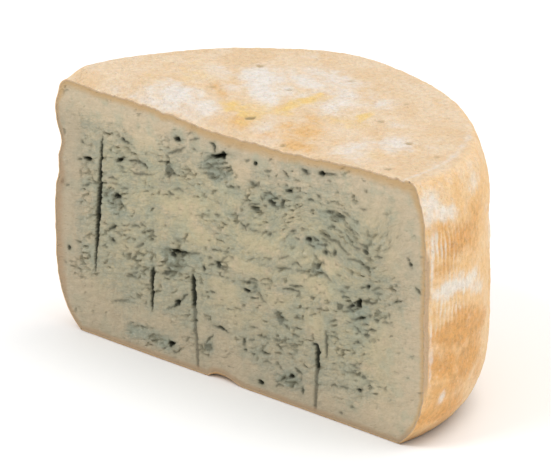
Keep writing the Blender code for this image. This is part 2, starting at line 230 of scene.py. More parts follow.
TOP_ORANGE = (
    (32, 22, 20, 12, -38, 0.85), (21, 40, 13, 5, -24, 0.7), (40, 8, 15, 9, 0, 1.1),
    (30, 14, 18, 9, -20, 0.7), (95, 9, 9, 6, 0, 0.35), (56, 24, 8, 7, 0, 0.4), (74, 44, 9, 6, 0, 0.3),
    (-14, 24, 14, 9, -30, 0.55), (-52, 40, 8, 4, -33, 0.7), (-38, 8, 14, 5, 0, 0.45),
    (-9, 14, 12, 8, -30, 0.85), (-44, 36, 17, 4, -33, 0.6), (-4, 40, 7, 6, 0, 0.6), (14, 8, 12, 7, 0, 0.7),
    (16, 24, 8, 9, 0, 0.7), (-26, 9, 10, 6, 0, 0.6), (54, 104, 20, 6, -28, 0.35),
    (60, 44, 14, 8, -20, 0.35), (10, 26, 11, 5, -40, 0.4), (-98, 42, 24, 22, 0, 0.3),
    (112, 36, 7, 22, 20, 0.25), (-40, 100, 26, 9, 15, 0.3),
)


def patches(x, y, rows, wobble, faint=1.7, full=0.1):
    """Strongest of several soft ovals at each place, their edges moved in and out by the wobble.

    A row gives a middle, half length, half width, a turn where it has one, and a strength, which
    eases off from the full share of the oval's size to the faint one.
    """
    found = np.zeros_like(x)
    for middle_x, middle_y, half_length, half_width, *turn, strength in rows:
        lean = np.radians(turn[0] if turn else 0.0)
        along = (x - middle_x) * np.cos(lean) + (y - middle_y) * np.sin(lean)
        across = (y - middle_y) * np.cos(lean) - (x - middle_x) * np.sin(lean)
        reach = np.hypot(along / half_length, across / half_width) + wobble
        found = np.maximum(found, strength * ease(reach, faint, full))
    return found


def skin_grid():
    """The skin's points, (rows, columns, 3): base, side, rim and top, each column in one upright fold."""
    angle = skin_angles()
    direction = np.stack([np.cos(angle), np.sin(angle)], axis=-1)
    rim = direction * (side_radius(TOP_HEIGHT) + out_of_round(angle))[:, None]
    rim[[0, -1], 1] = 0.0
    rim_top = top_height(rim[:, 0], rim[:, 1])
    rounding = RIM_ROUND_RIGHT + (RIM_ROUND_LEFT - RIM_ROUND_RIGHT) * (1.0 - np.cos(angle)) / 2.0
    shoulder = rim_top - 0.75 * rounding
    foot = direction * (side_radius(0.0) + out_of_round(angle) + side_dents(angle, 0.0))[:, None]

    def towards_front(edge, step):
        """Places on straight lines from the cut, at 0, to the edge, at 1, so that no two lines cross."""
        front = edge[-1, 0] + (edge[0, 0] - edge[-1, 0]) * (1.0 + np.cos(angle)) / 2.0
        return np.column_stack([front + (edge[:, 0] - front) * step, edge[:, 1] * step])

    rows = []
    for step in (0.0, 0.015, 0.03, 0.045, 0.3, 0.65):
        rows.append(np.column_stack([towards_front(foot, step), np.zeros_like(angle)]))
    for step in np.linspace(0.0, 1.0, SIDE_ROWS):
        height = shoulder * step
        radius = side_radius(height) + out_of_round(angle) + side_dents(angle, height)
        rows.append(np.column_stack([direction * radius[:, None], height]))
    inner = rim - direction * rounding[:, None] * 0.9
    start, corner = rows[-1], np.column_stack([rim, rim_top])
    end = np.column_stack([inner, top_height(inner[:, 0], inner[:, 1])])
    for step in np.linspace(0.0, 1.0, RIM_ROWS)[1:]:
        rows.append((1 - step) ** 2 * start + 2 * step * (1 - step) * corner + step**2 * end)
    for step in np.linspace(1.0, 0.0, TOP_ROWS)[1:]:
        plan = towards_front(inner, step)
        rows.append(np.column_stack([plan, top_height(plan[:, 0], plan[:, 1])]))
    points = np.array(rows)
    points[:, [0, -1], 1] = 0.0
    return points


def over_the_rim(points):
    """How far each row has turned from the upright side, 0, over the rim to the top, 1."""
    row = np.arange(len(points))[:, None] + np.zeros(points.shape[1])
    first_rim = BASE_ROWS + SIDE_ROWS - 2
    return ease(row, first_rim, first_rim + RIM_ROWS)


# Bloom, with two painted highlights, and orange on the side: (degrees round, height, half length in mm,
# half height, turn, strength).
SIDE_BLOOM_AND_HIGHLIGHTS = (
    (1, 136, 5, 8, 0, 0.65), (3, 142, 12, 8, -12, 0.85), (6.5, 134, 14, 5.5, -14, 0.85),
    (20, 141, 8, 6, 10, 0.55), (2.2, 120, 5, 9, 0, 0.7), (8.5, 91, 14, 6, 6, 1), (14.5, 89, 13, 5.5, -6, 1),
    (19.5, 82, 10, 5.5, -24, 0.85), (9, 78, 14, 4, 4, 0.3), (14, 150, 60, 5, 0, 0.3),
    # The spots at 1.6 degrees and height 56, and at 5.8 degrees and height 29, are painted highlights.
    (1.6, 56, 2.4, 6, 0, 0.8), (5.8, 29, 2.6, 4.5, -16, 0.85), (4.6, 114, 5, 6, 0, 0.5),
    (26, 120, 6, 10, 20, 0.35), (36, 98, 16, 7, 0, 0.5), (47, 132, 22, 8, 10, 0.6),
    (62, 88, 34, 9, -8, 0.8), (84, 118, 30, 8, 12, 0.7), (100, 70, 34, 9, -10, 0.7),
    (74, 44, 16, 6, 0, 0.5), (128, 100, 34, 10, 10, 0.75), (150, 60, 26, 9, -8, 0.6),
    (168, 130, 16, 9, 0, 0.6), (172, 84, 12, 12, 0, 0.5),
)
SIDE_ORANGE = (
    (12, 115, 22, 10, 0, 0.95), (5, 126, 13, 4.5, -6, 0.6), (5.5, 104, 11, 5, 0, 0.65),
    (6, 32, 24, 9, 0, 0.75), (22, 30, 16, 10, 0, 0.5), (19, 122, 12, 10, 0, 0.6), (12, 62, 26, 13, 0, 1.1),
    (7, 46, 18, 12, 0, 1.1), (15, 44, 18, 13, 0, 1.25), (8, 18, 26, 10, 0, 0.9), (34, 74, 14, 10, 0, 0.5),
    (21, 60, 14, 10, 0, 0.8), (50, 64, 30, 14, 0, 0.7), (56, 112, 22, 9, 0, 0.7), (78, 66, 30, 16, 0, 0.7),
    (104, 110, 34, 12, 0, 0.7), (92, 24, 50, 12, 0, 0.6), (130, 44, 40, 18, 0, 0.7),
    (156, 100, 20, 16, 0, 0.6), (170, 34, 20, 16, 0, 0.6), (142, 132, 26, 8, 0, 0.5),
)


def skin_fields(points):
    """Where the rind's colours and marks lie, as masks over the grid.

    bloom_and_highlights, orange and yellow are soft patches with broken edges, the first with painted
    highlights along the rim's edge and in two small spots on the side, pit a needle hole by its depth,
    toe the foot of the side, ribs the press marks of the cloth, from about -1 to 1, top how far a
    place lies over the rim, and bared where the knife pared the skin beside the cut's right end.
    """
    x, y, z = np.moveaxis(points, -1, 0)
    around = np.broadcast_to(skin_angles(), x.shape) * WHEEL_RADIUS
    on_top = over_the_rim(points)
    on_base = (np.arange(len(points))[:, None] < BASE_ROWS - 1) + 0.0 * x
    rough = 0.34 * layered_noise(x + 0.4 * y, y - 0.4 * x, 15.0, 21, 4)
    top_bloom = patches(x, y, TOP_BLOOM, rough + 0.3 * layered_noise(x, y, 5.0, 61))
    top_orange = patches(x, y, TOP_ORANGE, rough + 0.2)
    yellow = patches(x, y, TOP_YELLOW, rough + 0.35 * value_noise(x, y, 4.0, 33)) * on_top
    # Round the back the patches' edges wander further.
    loose = 1.0 + 1.6 * ease(around, 70.0, 130.0)
    rough = 0.42 * layered_noise(around, z * 1.7, 14.0, 27, 4) * loose
    bloom_and_highlight_rows, orange_rows = (
        [(np.radians(turn) * WHEEL_RADIUS, *rest) for turn, *rest in rows]
        for rows in (SIDE_BLOOM_AND_HIGHLIGHTS, SIDE_ORANGE)
    )
    side_bloom_and_highlights = patches(around, z, bloom_and_highlight_rows, rough + 0.3 * value_noise(around * 2.0, z, 4.0, 35))
    side_orange = patches(around, z, orange_rows, rough)
    # Fine upright ribs pressed by the cloth, plainest near the right end between heights 65 and 130.
    ribs = np.sin(2.0 * np.pi * (around + 1.4 * layered_noise(around, z, 9.0, 41)) / 3.3)
    ribbed = ease(z, 58.0, 76.0) * ease(z, 132.0, 120.0) * bell(around, 0.0, 48.0)
    ribs = ribs * ribbed * np.clip(0.55 + 0.75 * layered_noise(around, z / 1.6, 8.0, 43), 0.0, 1.2)
    side_bloom_and_highlights = side_bloom_and_highlights + 0.42 * ribs
    side_orange = np.clip(side_orange - 0.3 * ribs, 0.0, 1.0)
    # The knife bared the right edge a little way round, and left a pale, broken line behind that.
    right_edge = (x > 0.0) * (1.0 - on_top) * ease(z, 25.0, 50.0)
    lip = bell(y, 3.7, 1.1) * right_edge * (0.5 + 0.7 * layered_noise(z, around, 5.0, 47))
    bloom_and_highlights = top_bloom * on_top + side_bloom_and_highlights * (1.0 - on_top)
    # A pale line along the rim's edge at the right: a painted highlight, laid in with the bloom.
    rim_highlight = bell(np.hypot(x, y) + 4.0 * value_noise(around, z, 30.0, 45), 127.0, 2.6)
    bloom_and_highlights = np.maximum(bloom_and_highlights, 0.45 * rim_highlight * on_top * ease(x, 40.0, 90.0))
    # The knife also rubbed off some of the bloom beside the cut.
    rubbed = 0.5 * bell(y, 0.0, 5.0) * right_edge * ease(z, 112.0, 98.0)
    bloom_and_highlights = np.clip(np.maximum(bloom_and_highlights * (1.0 - rubbed), lip), 0.0, 1.0) * (1.0 - on_base)
    orange = top_orange * on_top + side_orange * (1.0 - on_top)
    pits = np.zeros_like(x)
    for pit_x, pit_y, width, depth in TOP_PITS:
        reach = np.hypot(x - pit_x, y - pit_y) / (0.5 * width) + 0.25 * value_noise(x, y, 1.6, 51)
        pits = np.maximum(pits, ease(reach, 1.6, 0.4) * on_top * depth)
    bared = ease(y, 3.0 + 0.8 * layered_noise(z, around, 6.0, 49), 1.2) * right_edge
    return {
        "bloom_and_highlights": bloom_and_highlights, "orange": np.clip(orange, 0.0, 1.0), "yellow": yellow, "pit": pits / DEEPEST_PIT,
        "toe": ease(z, 14.0, 3.0) * (1.0 - on_top), "ribs": ribs, "top": on_top,
        "bared": bared * ease(z, 122.0, 102.0),
    }


def skin_relief(points, fields):
    """How far the skin stands out: low swells, crinkles and ribs, less the needle pits."""
    x, y, z = np.moveaxis(points, -1, 0)
    around = np.broadcast_to(skin_angles(), x.shape) * WHEEL_RADIUS
    on_top = fields["top"]
    side = 0.35 * layered_noise(around, z, 16.0, 71) + 0.42 * layered_noise(around * 1.6, z, 3.4, 73)
    top = 0.30 * layered_noise(x, y, 18.0, 75) + 0.5 * layered_noise(x, y, 4.6, 77)
    swell = side * (1.0 - on_top) + top * on_top
    creases = ease(np.abs(layered_noise(x + y, y - x, 13.0, 79, 2)), 0.10, 0.0)
    creases = -0.35 * creases * on_top * ease(value_noise(x, y, 24.0, 81), -0.2, 0.5)
    # The knife left the top's front edge slightly crumbled.
    crumbled = 0.8 * layered_noise(x, 0.0 * x, 4.0, 83) * bell(y, 0.0, 2.5) * on_top
    return (
        swell + creases + crumbled + 0.28 * fields["ribs"] + 0.12 * fields["bloom_and_highlights"]
        - PIT_DEPTH * fields["pit"]
    )


def outline_normals(loop):
    """Directions in the cut plane, square to a closed outline and pointing out of it."""
    along = np.roll(loop, -1, axis=0) - np.roll(loop, 1, axis=0)
    out = np.column_stack([along[:, 1], -along[:, 0]])
    middle = loop.mean(axis=0)
    out *= np.sign((out * (loop - middle)).sum(axis=1).sum())
    return out / np.maximum(np.linalg.norm(out, axis=1), 1e-9)[:, None]


def cut_outline(points):
    """The skin's edge in the cut, once round: up the right end, over the top, down, and back below.

    It gives the edge's places as (x, z), and the number of each one's point in the grid.
    """
    rows, columns = points.shape[:2]
    number = np.arange(rows * columns).reshape(rows, columns)
    first_side = BASE_ROWS - 1
    numbers = np.concatenate([
        number[first_side:, 0], number[-1, 1:-1], number[first_side:, -1][::-1], number[0, -2:0:-1],
    ])
    loop = points.reshape(-1, 3)[numbers][:, [0, 2]]
    apart = np.linalg.norm(np.roll(loop, -1, axis=0) - loop, axis=1) > 1e-4
    return loop[apart], numbers[apart]


def at_depth(loop, depth):
    """A loop of places (x, z) in the cut, set at one depth along y or at one for each place."""
    return np.column_stack([loop[:, 0], np.broadcast_to(depth, len(loop)), loop[:, 1]])


def drawn_in(loop):
    """A loop of places (x, z) drawn in a little towards the middle of the cut."""
    return loop + (np.array([0.0, MIDDLE_HEIGHT]) - loop) * PLUG_TAPER / MIDDLE_HEIGHT


def closed_behind(points, loops, depth):
    """A grid with a wall from each loop to the next and a fan from the last to a point at that depth.

    It gives all the points, the quads, and the fan's triangles.
    """
    start, count = points[..., 0].size, len(loops[0])
    walls = np.concatenate([np.vstack([loop, loop[:1]]) for loop in loops])
    quads = np.concatenate([grid_quads(*points.shape[:2]), grid_quads(len(loops), count + 1, start)])
    last = start + len(walls) - count - 1 + np.arange(count)
    fan = np.column_stack([last, last + 1, np.full(count, start + len(walls))])
    return np.concatenate([points.reshape(-1, 3), walls, [[0.0, depth, MIDDLE_HEIGHT]]]), quads, fan


def build_rind():
    """The skin, the ring that the knife bared round the paste, and a wall and back behind the paste."""
    points = skin_grid()
    fields = skin_fields(points)
    # The relief pushes the side straight out and the top straight up, and dies away at the base.
    angle = np.broadcast_to(skin_angles(), points.shape[:2])
    over = fields["top"]
    out = np.stack([np.cos(angle) * (1.0 - over), np.sin(angle) * (1.0 - over), over], axis=-1)
    out = out / np.linalg.norm(out, axis=2, keepdims=True)
    steady = ease(points[..., 2], 0.0, 5.0)
    points = points + out * (skin_relief(points, fields) * steady)[..., None]
    points[:, [0, -1], 1] = 0.0
    points[[0, -1], :, 1] = 0.0
    near_cut = np.exp(-np.maximum(points[..., 1], 0.0) / 6.0)
    on_base = np.arange(len(points))[:, None] < BASE_ROWS - 1
    points[..., 2] += notch_height(points[..., 0]) * np.clip(1.0 - points[..., 1] / 5.0, 0, 1) * on_base
    outline, numbers = cut_outline(points)
    points[..., 1] += near_cut * cut_waves(points[..., 0], points[..., 2])

    inner = outline - outline_normals(outline) * RING_WIDTH
    loops = [at_depth(loop, cut_waves(*loop.T)) for loop in (outline, inner)]
    loops.append(at_depth(drawn_in(inner), PLUG_DEPTH))
    everything, quads, fan = closed_behind(points, loops, PLUG_DEPTH)
    # The ring takes the skin's own values along its edge, and is bared only inwards from there.
    once_round = np.append(numbers, numbers[0])
    carried = {
        name: np.concatenate([values.ravel(), np.tile(values.ravel()[once_round], 3), [0.0]])
        for name, values in fields.items()
    }
    carried["bared"][over.size + len(once_round):] = 1.0
    # The ring is duller at the left end, and painted darker along the base as shade.
    dull_and_shade = np.maximum(ease(everything[:, 0], -112.0, -126.0), ease(everything[:, 2], 14.0, 4.0))
    carried["dull_and_shade"] = dull_and_shade * carried["bared"] * ease(everything[:, 2], 140.0, 120.0)
    return closed_piece("rind", everything, quads, fan, carried), inner


rind, paste_outline = build_rind()


def fill(made, **inputs):
    """Give a node its inputs, each by its name or, as in_0, by its place; a socket given is linked."""
    for name, value in inputs.items():
        socket = made.inputs[int(name[3:]) if name.startswith("in_") else name.replace("_", " ")]
        if isinstance(value, bpy.types.NodeSocket):
            made.id_data.links.new(value, socket)
        else:
            socket.default_value = value
    return made


def node(tree, kind, settings=None, **inputs):
    """One shader node with its settings and its inputs."""
    made = tree.nodes.new(kind)
    for name, value in (settings or {}).items():
        setattr(made, name, value)
    return fill(made, **inputs)


def field(tree, name):
    """The value that the mesh carries under this name, as a number at each point."""
    return node(tree, "ShaderNodeAttribute", {"attribute_name": name}).outputs["Fac"]


def maths(tree, operation, first, second):
    """Two numbers added, multiplied or otherwise combined."""
    return node(tree, "ShaderNodeMath", {"operation": operation}, in_0=first, in_1=second).outputs[0]


def times(tree, first, second):
    """Two numbers multiplied."""
    return maths(tree, "MULTIPLY", first, second)


def plus(tree, first, second):
    """Two numbers added."""
    return maths(tree, "ADD", first, second)


def eased(tree, value, low, high):
    """From 0 where the value is low to 1 where it is high, eased at both ends."""
    settings = {"interpolation_type": "SMOOTHSTEP"}
    if low > high:
        turned = node(tree, "ShaderNodeMapRange", settings, Value=value, From_Min=high, From_Max=low)
        return maths(tree, "SUBTRACT", 1.0, turned.outputs[0])
    return node(tree, "ShaderNodeMapRange", settings, Value=value, From_Min=low, From_Max=high).outputs[0]


def blend(tree, share, first, second, way="MIX"):
    """The first colour going over to the second, or multiplied by it, by the share."""
    first, second = (
        colour if isinstance(colour, bpy.types.NodeSocket) else (*colour, 1.0) for colour in (first, second)
    )
    settings = {"data_type": "RGBA", "blend_type": way}
    return node(tree, "ShaderNodeMix", settings, Factor=share, in_6=first, in_7=second).outputs[2]


def coat(tree, under, over, mask, strength, way="MIX"):
    """A colour with another laid over it, or multiplied into it, by the mask times the strength."""
    return blend(tree, times(tree, mask, strength), under, over, way)


def noise(tree, vector, size, detail=3.0, roughness=0.55):
    """Cloudy noise round 0.5, its largest blobs about this size across, in millimetres."""
    return node(
        tree, "ShaderNodeTexNoise", Vector=vector, Scale=1.0 / size, Detail=detail, Roughness=roughness
    ).outputs["Fac"]


def spots(tree, vector, size, detail, roughness, low, high):
    """A mask of the noise's blobs: 0 where the noise is below low, 1 where it is above high."""
    return eased(tree, noise(tree, vector, size, detail, roughness), low, high)


def swing(tree, vector, size, detail, roughness):
    """The same noise, round 0."""
    return maths(tree, "SUBTRACT", noise(tree, vector, size, detail, roughness), 0.5)


def millimetres(tree):
    """Object coordinates in millimetres."""
    place = node(tree, "ShaderNodeTexCoord").outputs["Object"]
    return node(tree, "ShaderNodeVectorMath", {"operation": "SCALE"}, in_0=place, Scale=1000.0).outputs[0]


def dry_mottle_group():
    """For both finishes: fine mottling, as a mask, and the relief of its pores and crumbs, as a height."""
    tree = bpy.data.node_groups.new("dry_mottle", "ShaderNodeTree")
    for name, kind, way in (
        ("Vector", "NodeSocketVector", "INPUT"), ("Size", "NodeSocketFloat", "INPUT"),
        ("Mask", "NodeSocketFloat", "OUTPUT"), ("Height", "NodeSocketFloat", "OUTPUT"),
    ):
        tree.interface.new_socket(name, in_out=way, socket_type=kind)
    given = node(tree, "NodeGroupInput").outputs
    place, scale = given["Vector"], maths(tree, "DIVIDE", 1.0, given["Size"])
    coarse, fine = (
        node(tree, "ShaderNodeTexNoise", Vector=place, Scale=repeat, Detail=detail).outputs["Fac"]
        for repeat, detail in ((scale, 4.0), (times(tree, scale, 4.3), 3.0))
    )
    pores = node(tree, "ShaderNodeTexVoronoi", Vector=place, Scale=times(tree, scale, 2.1))
    pitted = eased(tree, pores.outputs["Distance"], 0.05, 0.35)
    mask = plus(tree, times(tree, coarse, 0.6), times(tree, fine, 0.4))
    height = plus(tree, times(tree, mask, 0.8), times(tree, pitted, 0.2))
    node(tree, "NodeGroupOutput", Mask=eased(tree, mask, 0.36, 0.64), Height=height)
    return tree


def new_finish(name):
    """An empty material and its one Principled shader, joined to the output."""
    made = bpy.data.materials.new(name)
    made.use_nodes = True
    return made, made.node_tree.nodes["Principled BSDF"]


def rind_finish():
    """Washed rind: peach top, golden side, orange and yellow stains, white bloom, painted highlights, brown
    pits, dark toe.
    """
    peach, pale = (0.718, 0.529, 0.334), (0.753, 0.60, 0.43)
    honey, golden = (0.915, 0.655, 0.38), (0.90, 0.583, 0.275)
    orange, deep_orange, amber = (0.815, 0.42, 0.131), (0.72, 0.372, 0.117), (0.73, 0.445, 0.178)
    yellow, top_white, side_white = (0.785, 0.55, 0.205), (0.745, 0.715, 0.68), (0.90, 0.856, 0.785)
    brown, toe_brown, grime = (0.32, 0.235, 0.11), (0.50, 0.305, 0.135), (0.78, 0.755, 0.72)
    bared, dull_shaded_bared, crust = (0.54, 0.375, 0.225), (0.36, 0.27, 0.175), (0.52, 0.30, 0.11)
    made, shader = new_finish("washed_rind")
    tree = made.node_tree
    place = millimetres(tree)
    mottle = node(tree, "ShaderNodeGroup", {"node_tree": dry_mottle}, Vector=place, Size=5.0).outputs
    broad = spots(tree, place, 24.0, 3.0, 0.55, 0.35, 0.65)
    cloudy, ragged = swing(tree, place, 7.0, 5.0, 0.62), swing(tree, place, 3.2, 5.0, 0.65)
    rough_edge = plus(tree, times(tree, cloudy, 1.2), times(tree, ragged, 0.35))
    stained, bloom_and_highlight_mask, yellowed = (
        eased(tree, plus(tree, field(tree, name), rough_edge), low, high)
        for name, low, high in (("orange", 0.1, 0.95), ("bloom_and_highlights", 0.0, 1.1), ("yellow", 0.15, 1.05))
    )
    top = field(tree, "top")
    skin = blend(tree, top, blend(tree, broad, honey, golden), blend(tree, broad, peach, pale))
    skin = coat(tree, skin, blend(tree, top, orange, amber), mottle["Mask"], 0.12)
    stain = blend(tree, spots(tree, place, 5.0, 4.0, 0.6, 0.42, 0.60), orange, deep_orange)
    skin = coat(tree, skin, blend(tree, top, stain, amber), stained, 0.95)
    # Small crumbs of older crust, only where the skin is stained.
    crusted = times(tree, spots(tree, place, 3.0, 4.0, 0.65, 0.52, 0.64), stained)
    skin = coat(tree, skin, crust, crusted, 0.5)
    # White bloom, with the painted highlights laid in with it.
    white = blend(tree, top, side_white, top_white)
    skin = coat(tree, skin, white, bloom_and_highlight_mask, 0.85)
    skin = coat(tree, skin, yellow, yellowed, 0.9)
    skin = coat(tree, skin, white, spots(tree, place, 2.3, 2.0, 0.55, 0.62, 0.76), 0.25)
    # Fine grime in the skin's pores darkens it and hardly changes its hue.
    skin = coat(tree, skin, grime, spots(tree, place, 2.8, 6.0, 0.75, 0.34, 0.64), 0.65, "MULTIPLY")
    skin = coat(tree, skin, toe_brown, field(tree, "toe"), 0.85)
    skin = blend(tree, eased(tree, field(tree, "pit"), 0.1, 0.8), skin, brown)
    # The bared ring: duller at the left end, and painted darker along the base as shade.
    ring = blend(tree, field(tree, "dull_and_shade"), bared, dull_shaded_bared)
    skin = blend(tree, eased(tree, field(tree, "bared"), 0.0, 0.7), skin, ring)
    rough = node(tree, "ShaderNodeMapRange", Value=bloom_and_highlight_mask, To_Min=0.58, To_Max=0.86).outputs[0]
    height = plus(tree, mottle["Height"], times(tree, noise(tree, place, 1.6, 4.0), 0.45))
    bump = node(tree, "ShaderNodeBump", Strength=0.9, Distance=0.002, Height=height).outputs[0]
    fill(
        shader, Base_Color=skin, Roughness=rough, Normal=bump, Specular_IOR_Level=0.32,
        Subsurface_Weight=0.12, Subsurface_Radius=(1.0, 0.5, 0.25), Subsurface_Scale=0.003,
    )
    return made


dry_mottle = dry_mottle_group()
rind.data.materials.append(rind_finish())
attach(rind, "root")
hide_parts("cheese")


# PASTE
# The crumbly goat's-milk paste, bared by the knife: cream curd grains pressed together, with blue
# mould in the gaps between them, in open pockets, and down the channels that the needles left for air.

PASTE_COLUMNS = 396
PASTE_ROWS = 214
# The plug is this much larger than the ring's opening, and its back stays this far off the rind's.
PASTE_LAP = 0.12
BACK_GAP = 0.4

# Needle channels that the cut laid open: how dark, then x, z and half width at points down each one.
CHANNELS = (
    (1, -102.6, 121, 0.15, -103.2, 115, 0.6, -104.3, 104, 0.85, -104.6, 95, 1.2, -105, 85, 1.4, -106.1, 75,
     1.35, -106.9, 65, 1, -107.6, 55, 0.75, -108.5, 46, 0.5, -108.9, 39, 0.15),
    (0.9, -63.4, 53, 0.4, -63.8, 50, 1.7, -64.4, 45, 1, -64.3, 38, 0.9, -64.4, 31, 0.7, -64.4, 27, 0.2),
    (1, -32.6, 56.6, 0.5, -32.5, 54, 1.4, -32, 46, 1.5, -31.6, 37, 1.2),
    (0.33, -31.6, 38, 1.3, -31.2, 30, 1.3, -30.2, 20, 1.2, -29.2, 10, 1.1, -28.6, 1.5, 0.9),
    (1, 58.2, 40.2, 0.5, 61, 40.2, 1, 62.1, 37, 1.5, 61.7, 30, 1.3, 61.3, 24, 1.1),
    (0.35, 61.3, 26, 1.2, 61, 18, 1.3, 60.8, 10, 1.2, 60.5, 2, 1),
    (0.45, 67.8, 50, 0.4, 68.4, 45, 0.8, 68.6, 39, 0.8, 68.4, 35, 0.3),
)

# Mould pockets: (x, z, length, height, slope in degrees, depth where fully dark, how dark).
POCKETS = (
    (-13.2, 132, 13.4, 2.6, 19, 5, 1), (-9.6, 133, 4.6, 4, 10, 4, 1), (-44.6, 134, 5.4, 2.6, 12, 3, 1),
    (65, 141.6, 5.6, 2.8, 6, 4, 1), (52.8, 139.4, 5, 2.2, -14, 2.5, 0.75), (-86, 123.2, 3.4, 2, -8, 2, 0.8),
    (-88.7, 111, 6.6, 2.2, 34, 3, 0.95), (-114.2, 105, 5.6, 2.1, 4, 2.6, 0.95),
    (-117.5, 114, 2.8, 1.9, 0, 2, 0.65), (-51.6, 113.6, 5.2, 7.4, 0, 2.4, 0.55),
    (-91.4, 88.6, 5.4, 3.8, 30, 3.6, 1), (-134.6, 86.4, 1.9, 4.2, -30, 1.8, 0.75),
    (-94.7, 69, 5.4, 1.8, 34, 2, 0.85), (-94.4, 61.3, 3.6, 2.2, 0, 2.2, 0.9),
    (-129.3, 48, 3, 2.8, 0, 2.2, 0.8), (-133, 38.5, 2.8, 1.8, 0, 1.2, 0.4), (-79.8, 43.8, 6, 2, 8, 2, 0.6),
    (-44.6, 67.6, 13, 2.4, 4, 4.6, 1), (-47.8, 65, 5, 4, 30, 3.6, 0.85), (-24, 63, 2.6, 3.2, 0, 2.4, 0.85),
    (-13.4, 68.2, 3.4, 4.6, 0, 2.4, 0.8), (-53, 52.6, 8, 2.2, 20, 2.2, 0.75),
    (-44.6, 36.9, 6.4, 3.2, 40, 3.6, 1), (-49.9, 10.6, 4.4, 4.2, 0, 3.2, 1),
    (-11, 30.6, 9, 1.7, -6, 2.2, 0.85), (-20.6, 17.2, 6.4, 4.2, 30, 2, 0.5),
    (15, 134.5, 2.9, 2.5, 0, 2.4, 1), (40.4, 125, 5, 2.1, 14, 2.4, 0.9),
    (13.6, 122, 5.6, 1.8, -8, 1.8, 0.65), (26.8, 115, 5.6, 2.6, -20, 2.4, 0.85),
    (35.4, 117, 2.6, 5.2, 0, 1.8, 0.65), (15.6, 108, 7.4, 1.9, -4, 1.8, 0.75),
    (8.4, 58.2, 4.4, 2.2, -8, 2.4, 0.95), (9.8, 63.8, 6.6, 1.8, 14, 1.8, 0.7),
    (33.6, 48.8, 7, 6.2, 0, 1.8, 0.45), (6.4, 28, 2.6, 4.2, 0, 1.8, 0.75), (19.6, 7, 4.6, 2.8, -16, 3, 1),
    (42.2, 16.6, 4.2, 3, 30, 2.8, 0.95), (56, 100.9, 4.8, 2.4, 8, 2.6, 0.95),
    (68.2, 96.6, 4.2, 2.6, 0, 2, 0.8), (75.2, 98.6, 3, 4.2, -20, 1.8, 0.7),
    (71, 121.4, 6, 1.8, 16, 1.8, 0.75), (78.4, 120.4, 5, 1.8, -8, 1.8, 0.75),
    (98.2, 105, 4.4, 2.2, -20, 2.4, 0.8), (62, 86.6, 4.6, 5, 0, 2, 0.6),
    (100.2, 85.5, 3.4, 2.3, 20, 2.6, 1), (92.8, 73.6, 6.2, 4.6, 34, 4.6, 1),
    (87.6, 70.6, 7, 2, 22, 2.6, 0.85), (79, 67.8, 3.8, 3.6, 0, 1.8, 0.65),
    (95.2, 65.8, 5.6, 2, 14, 2.2, 0.8), (92.4, 51, 3.4, 1.7, 4, 2, 0.85), (93.6, 23, 4, 2.7, 0, 2.8, 1),
    (131.1, 106.2, 1.9, 4, 20, 1.8, 0.85), (-22.4, 16.6, 3.4, 3.6, 0, 1.6, 0.5),
)

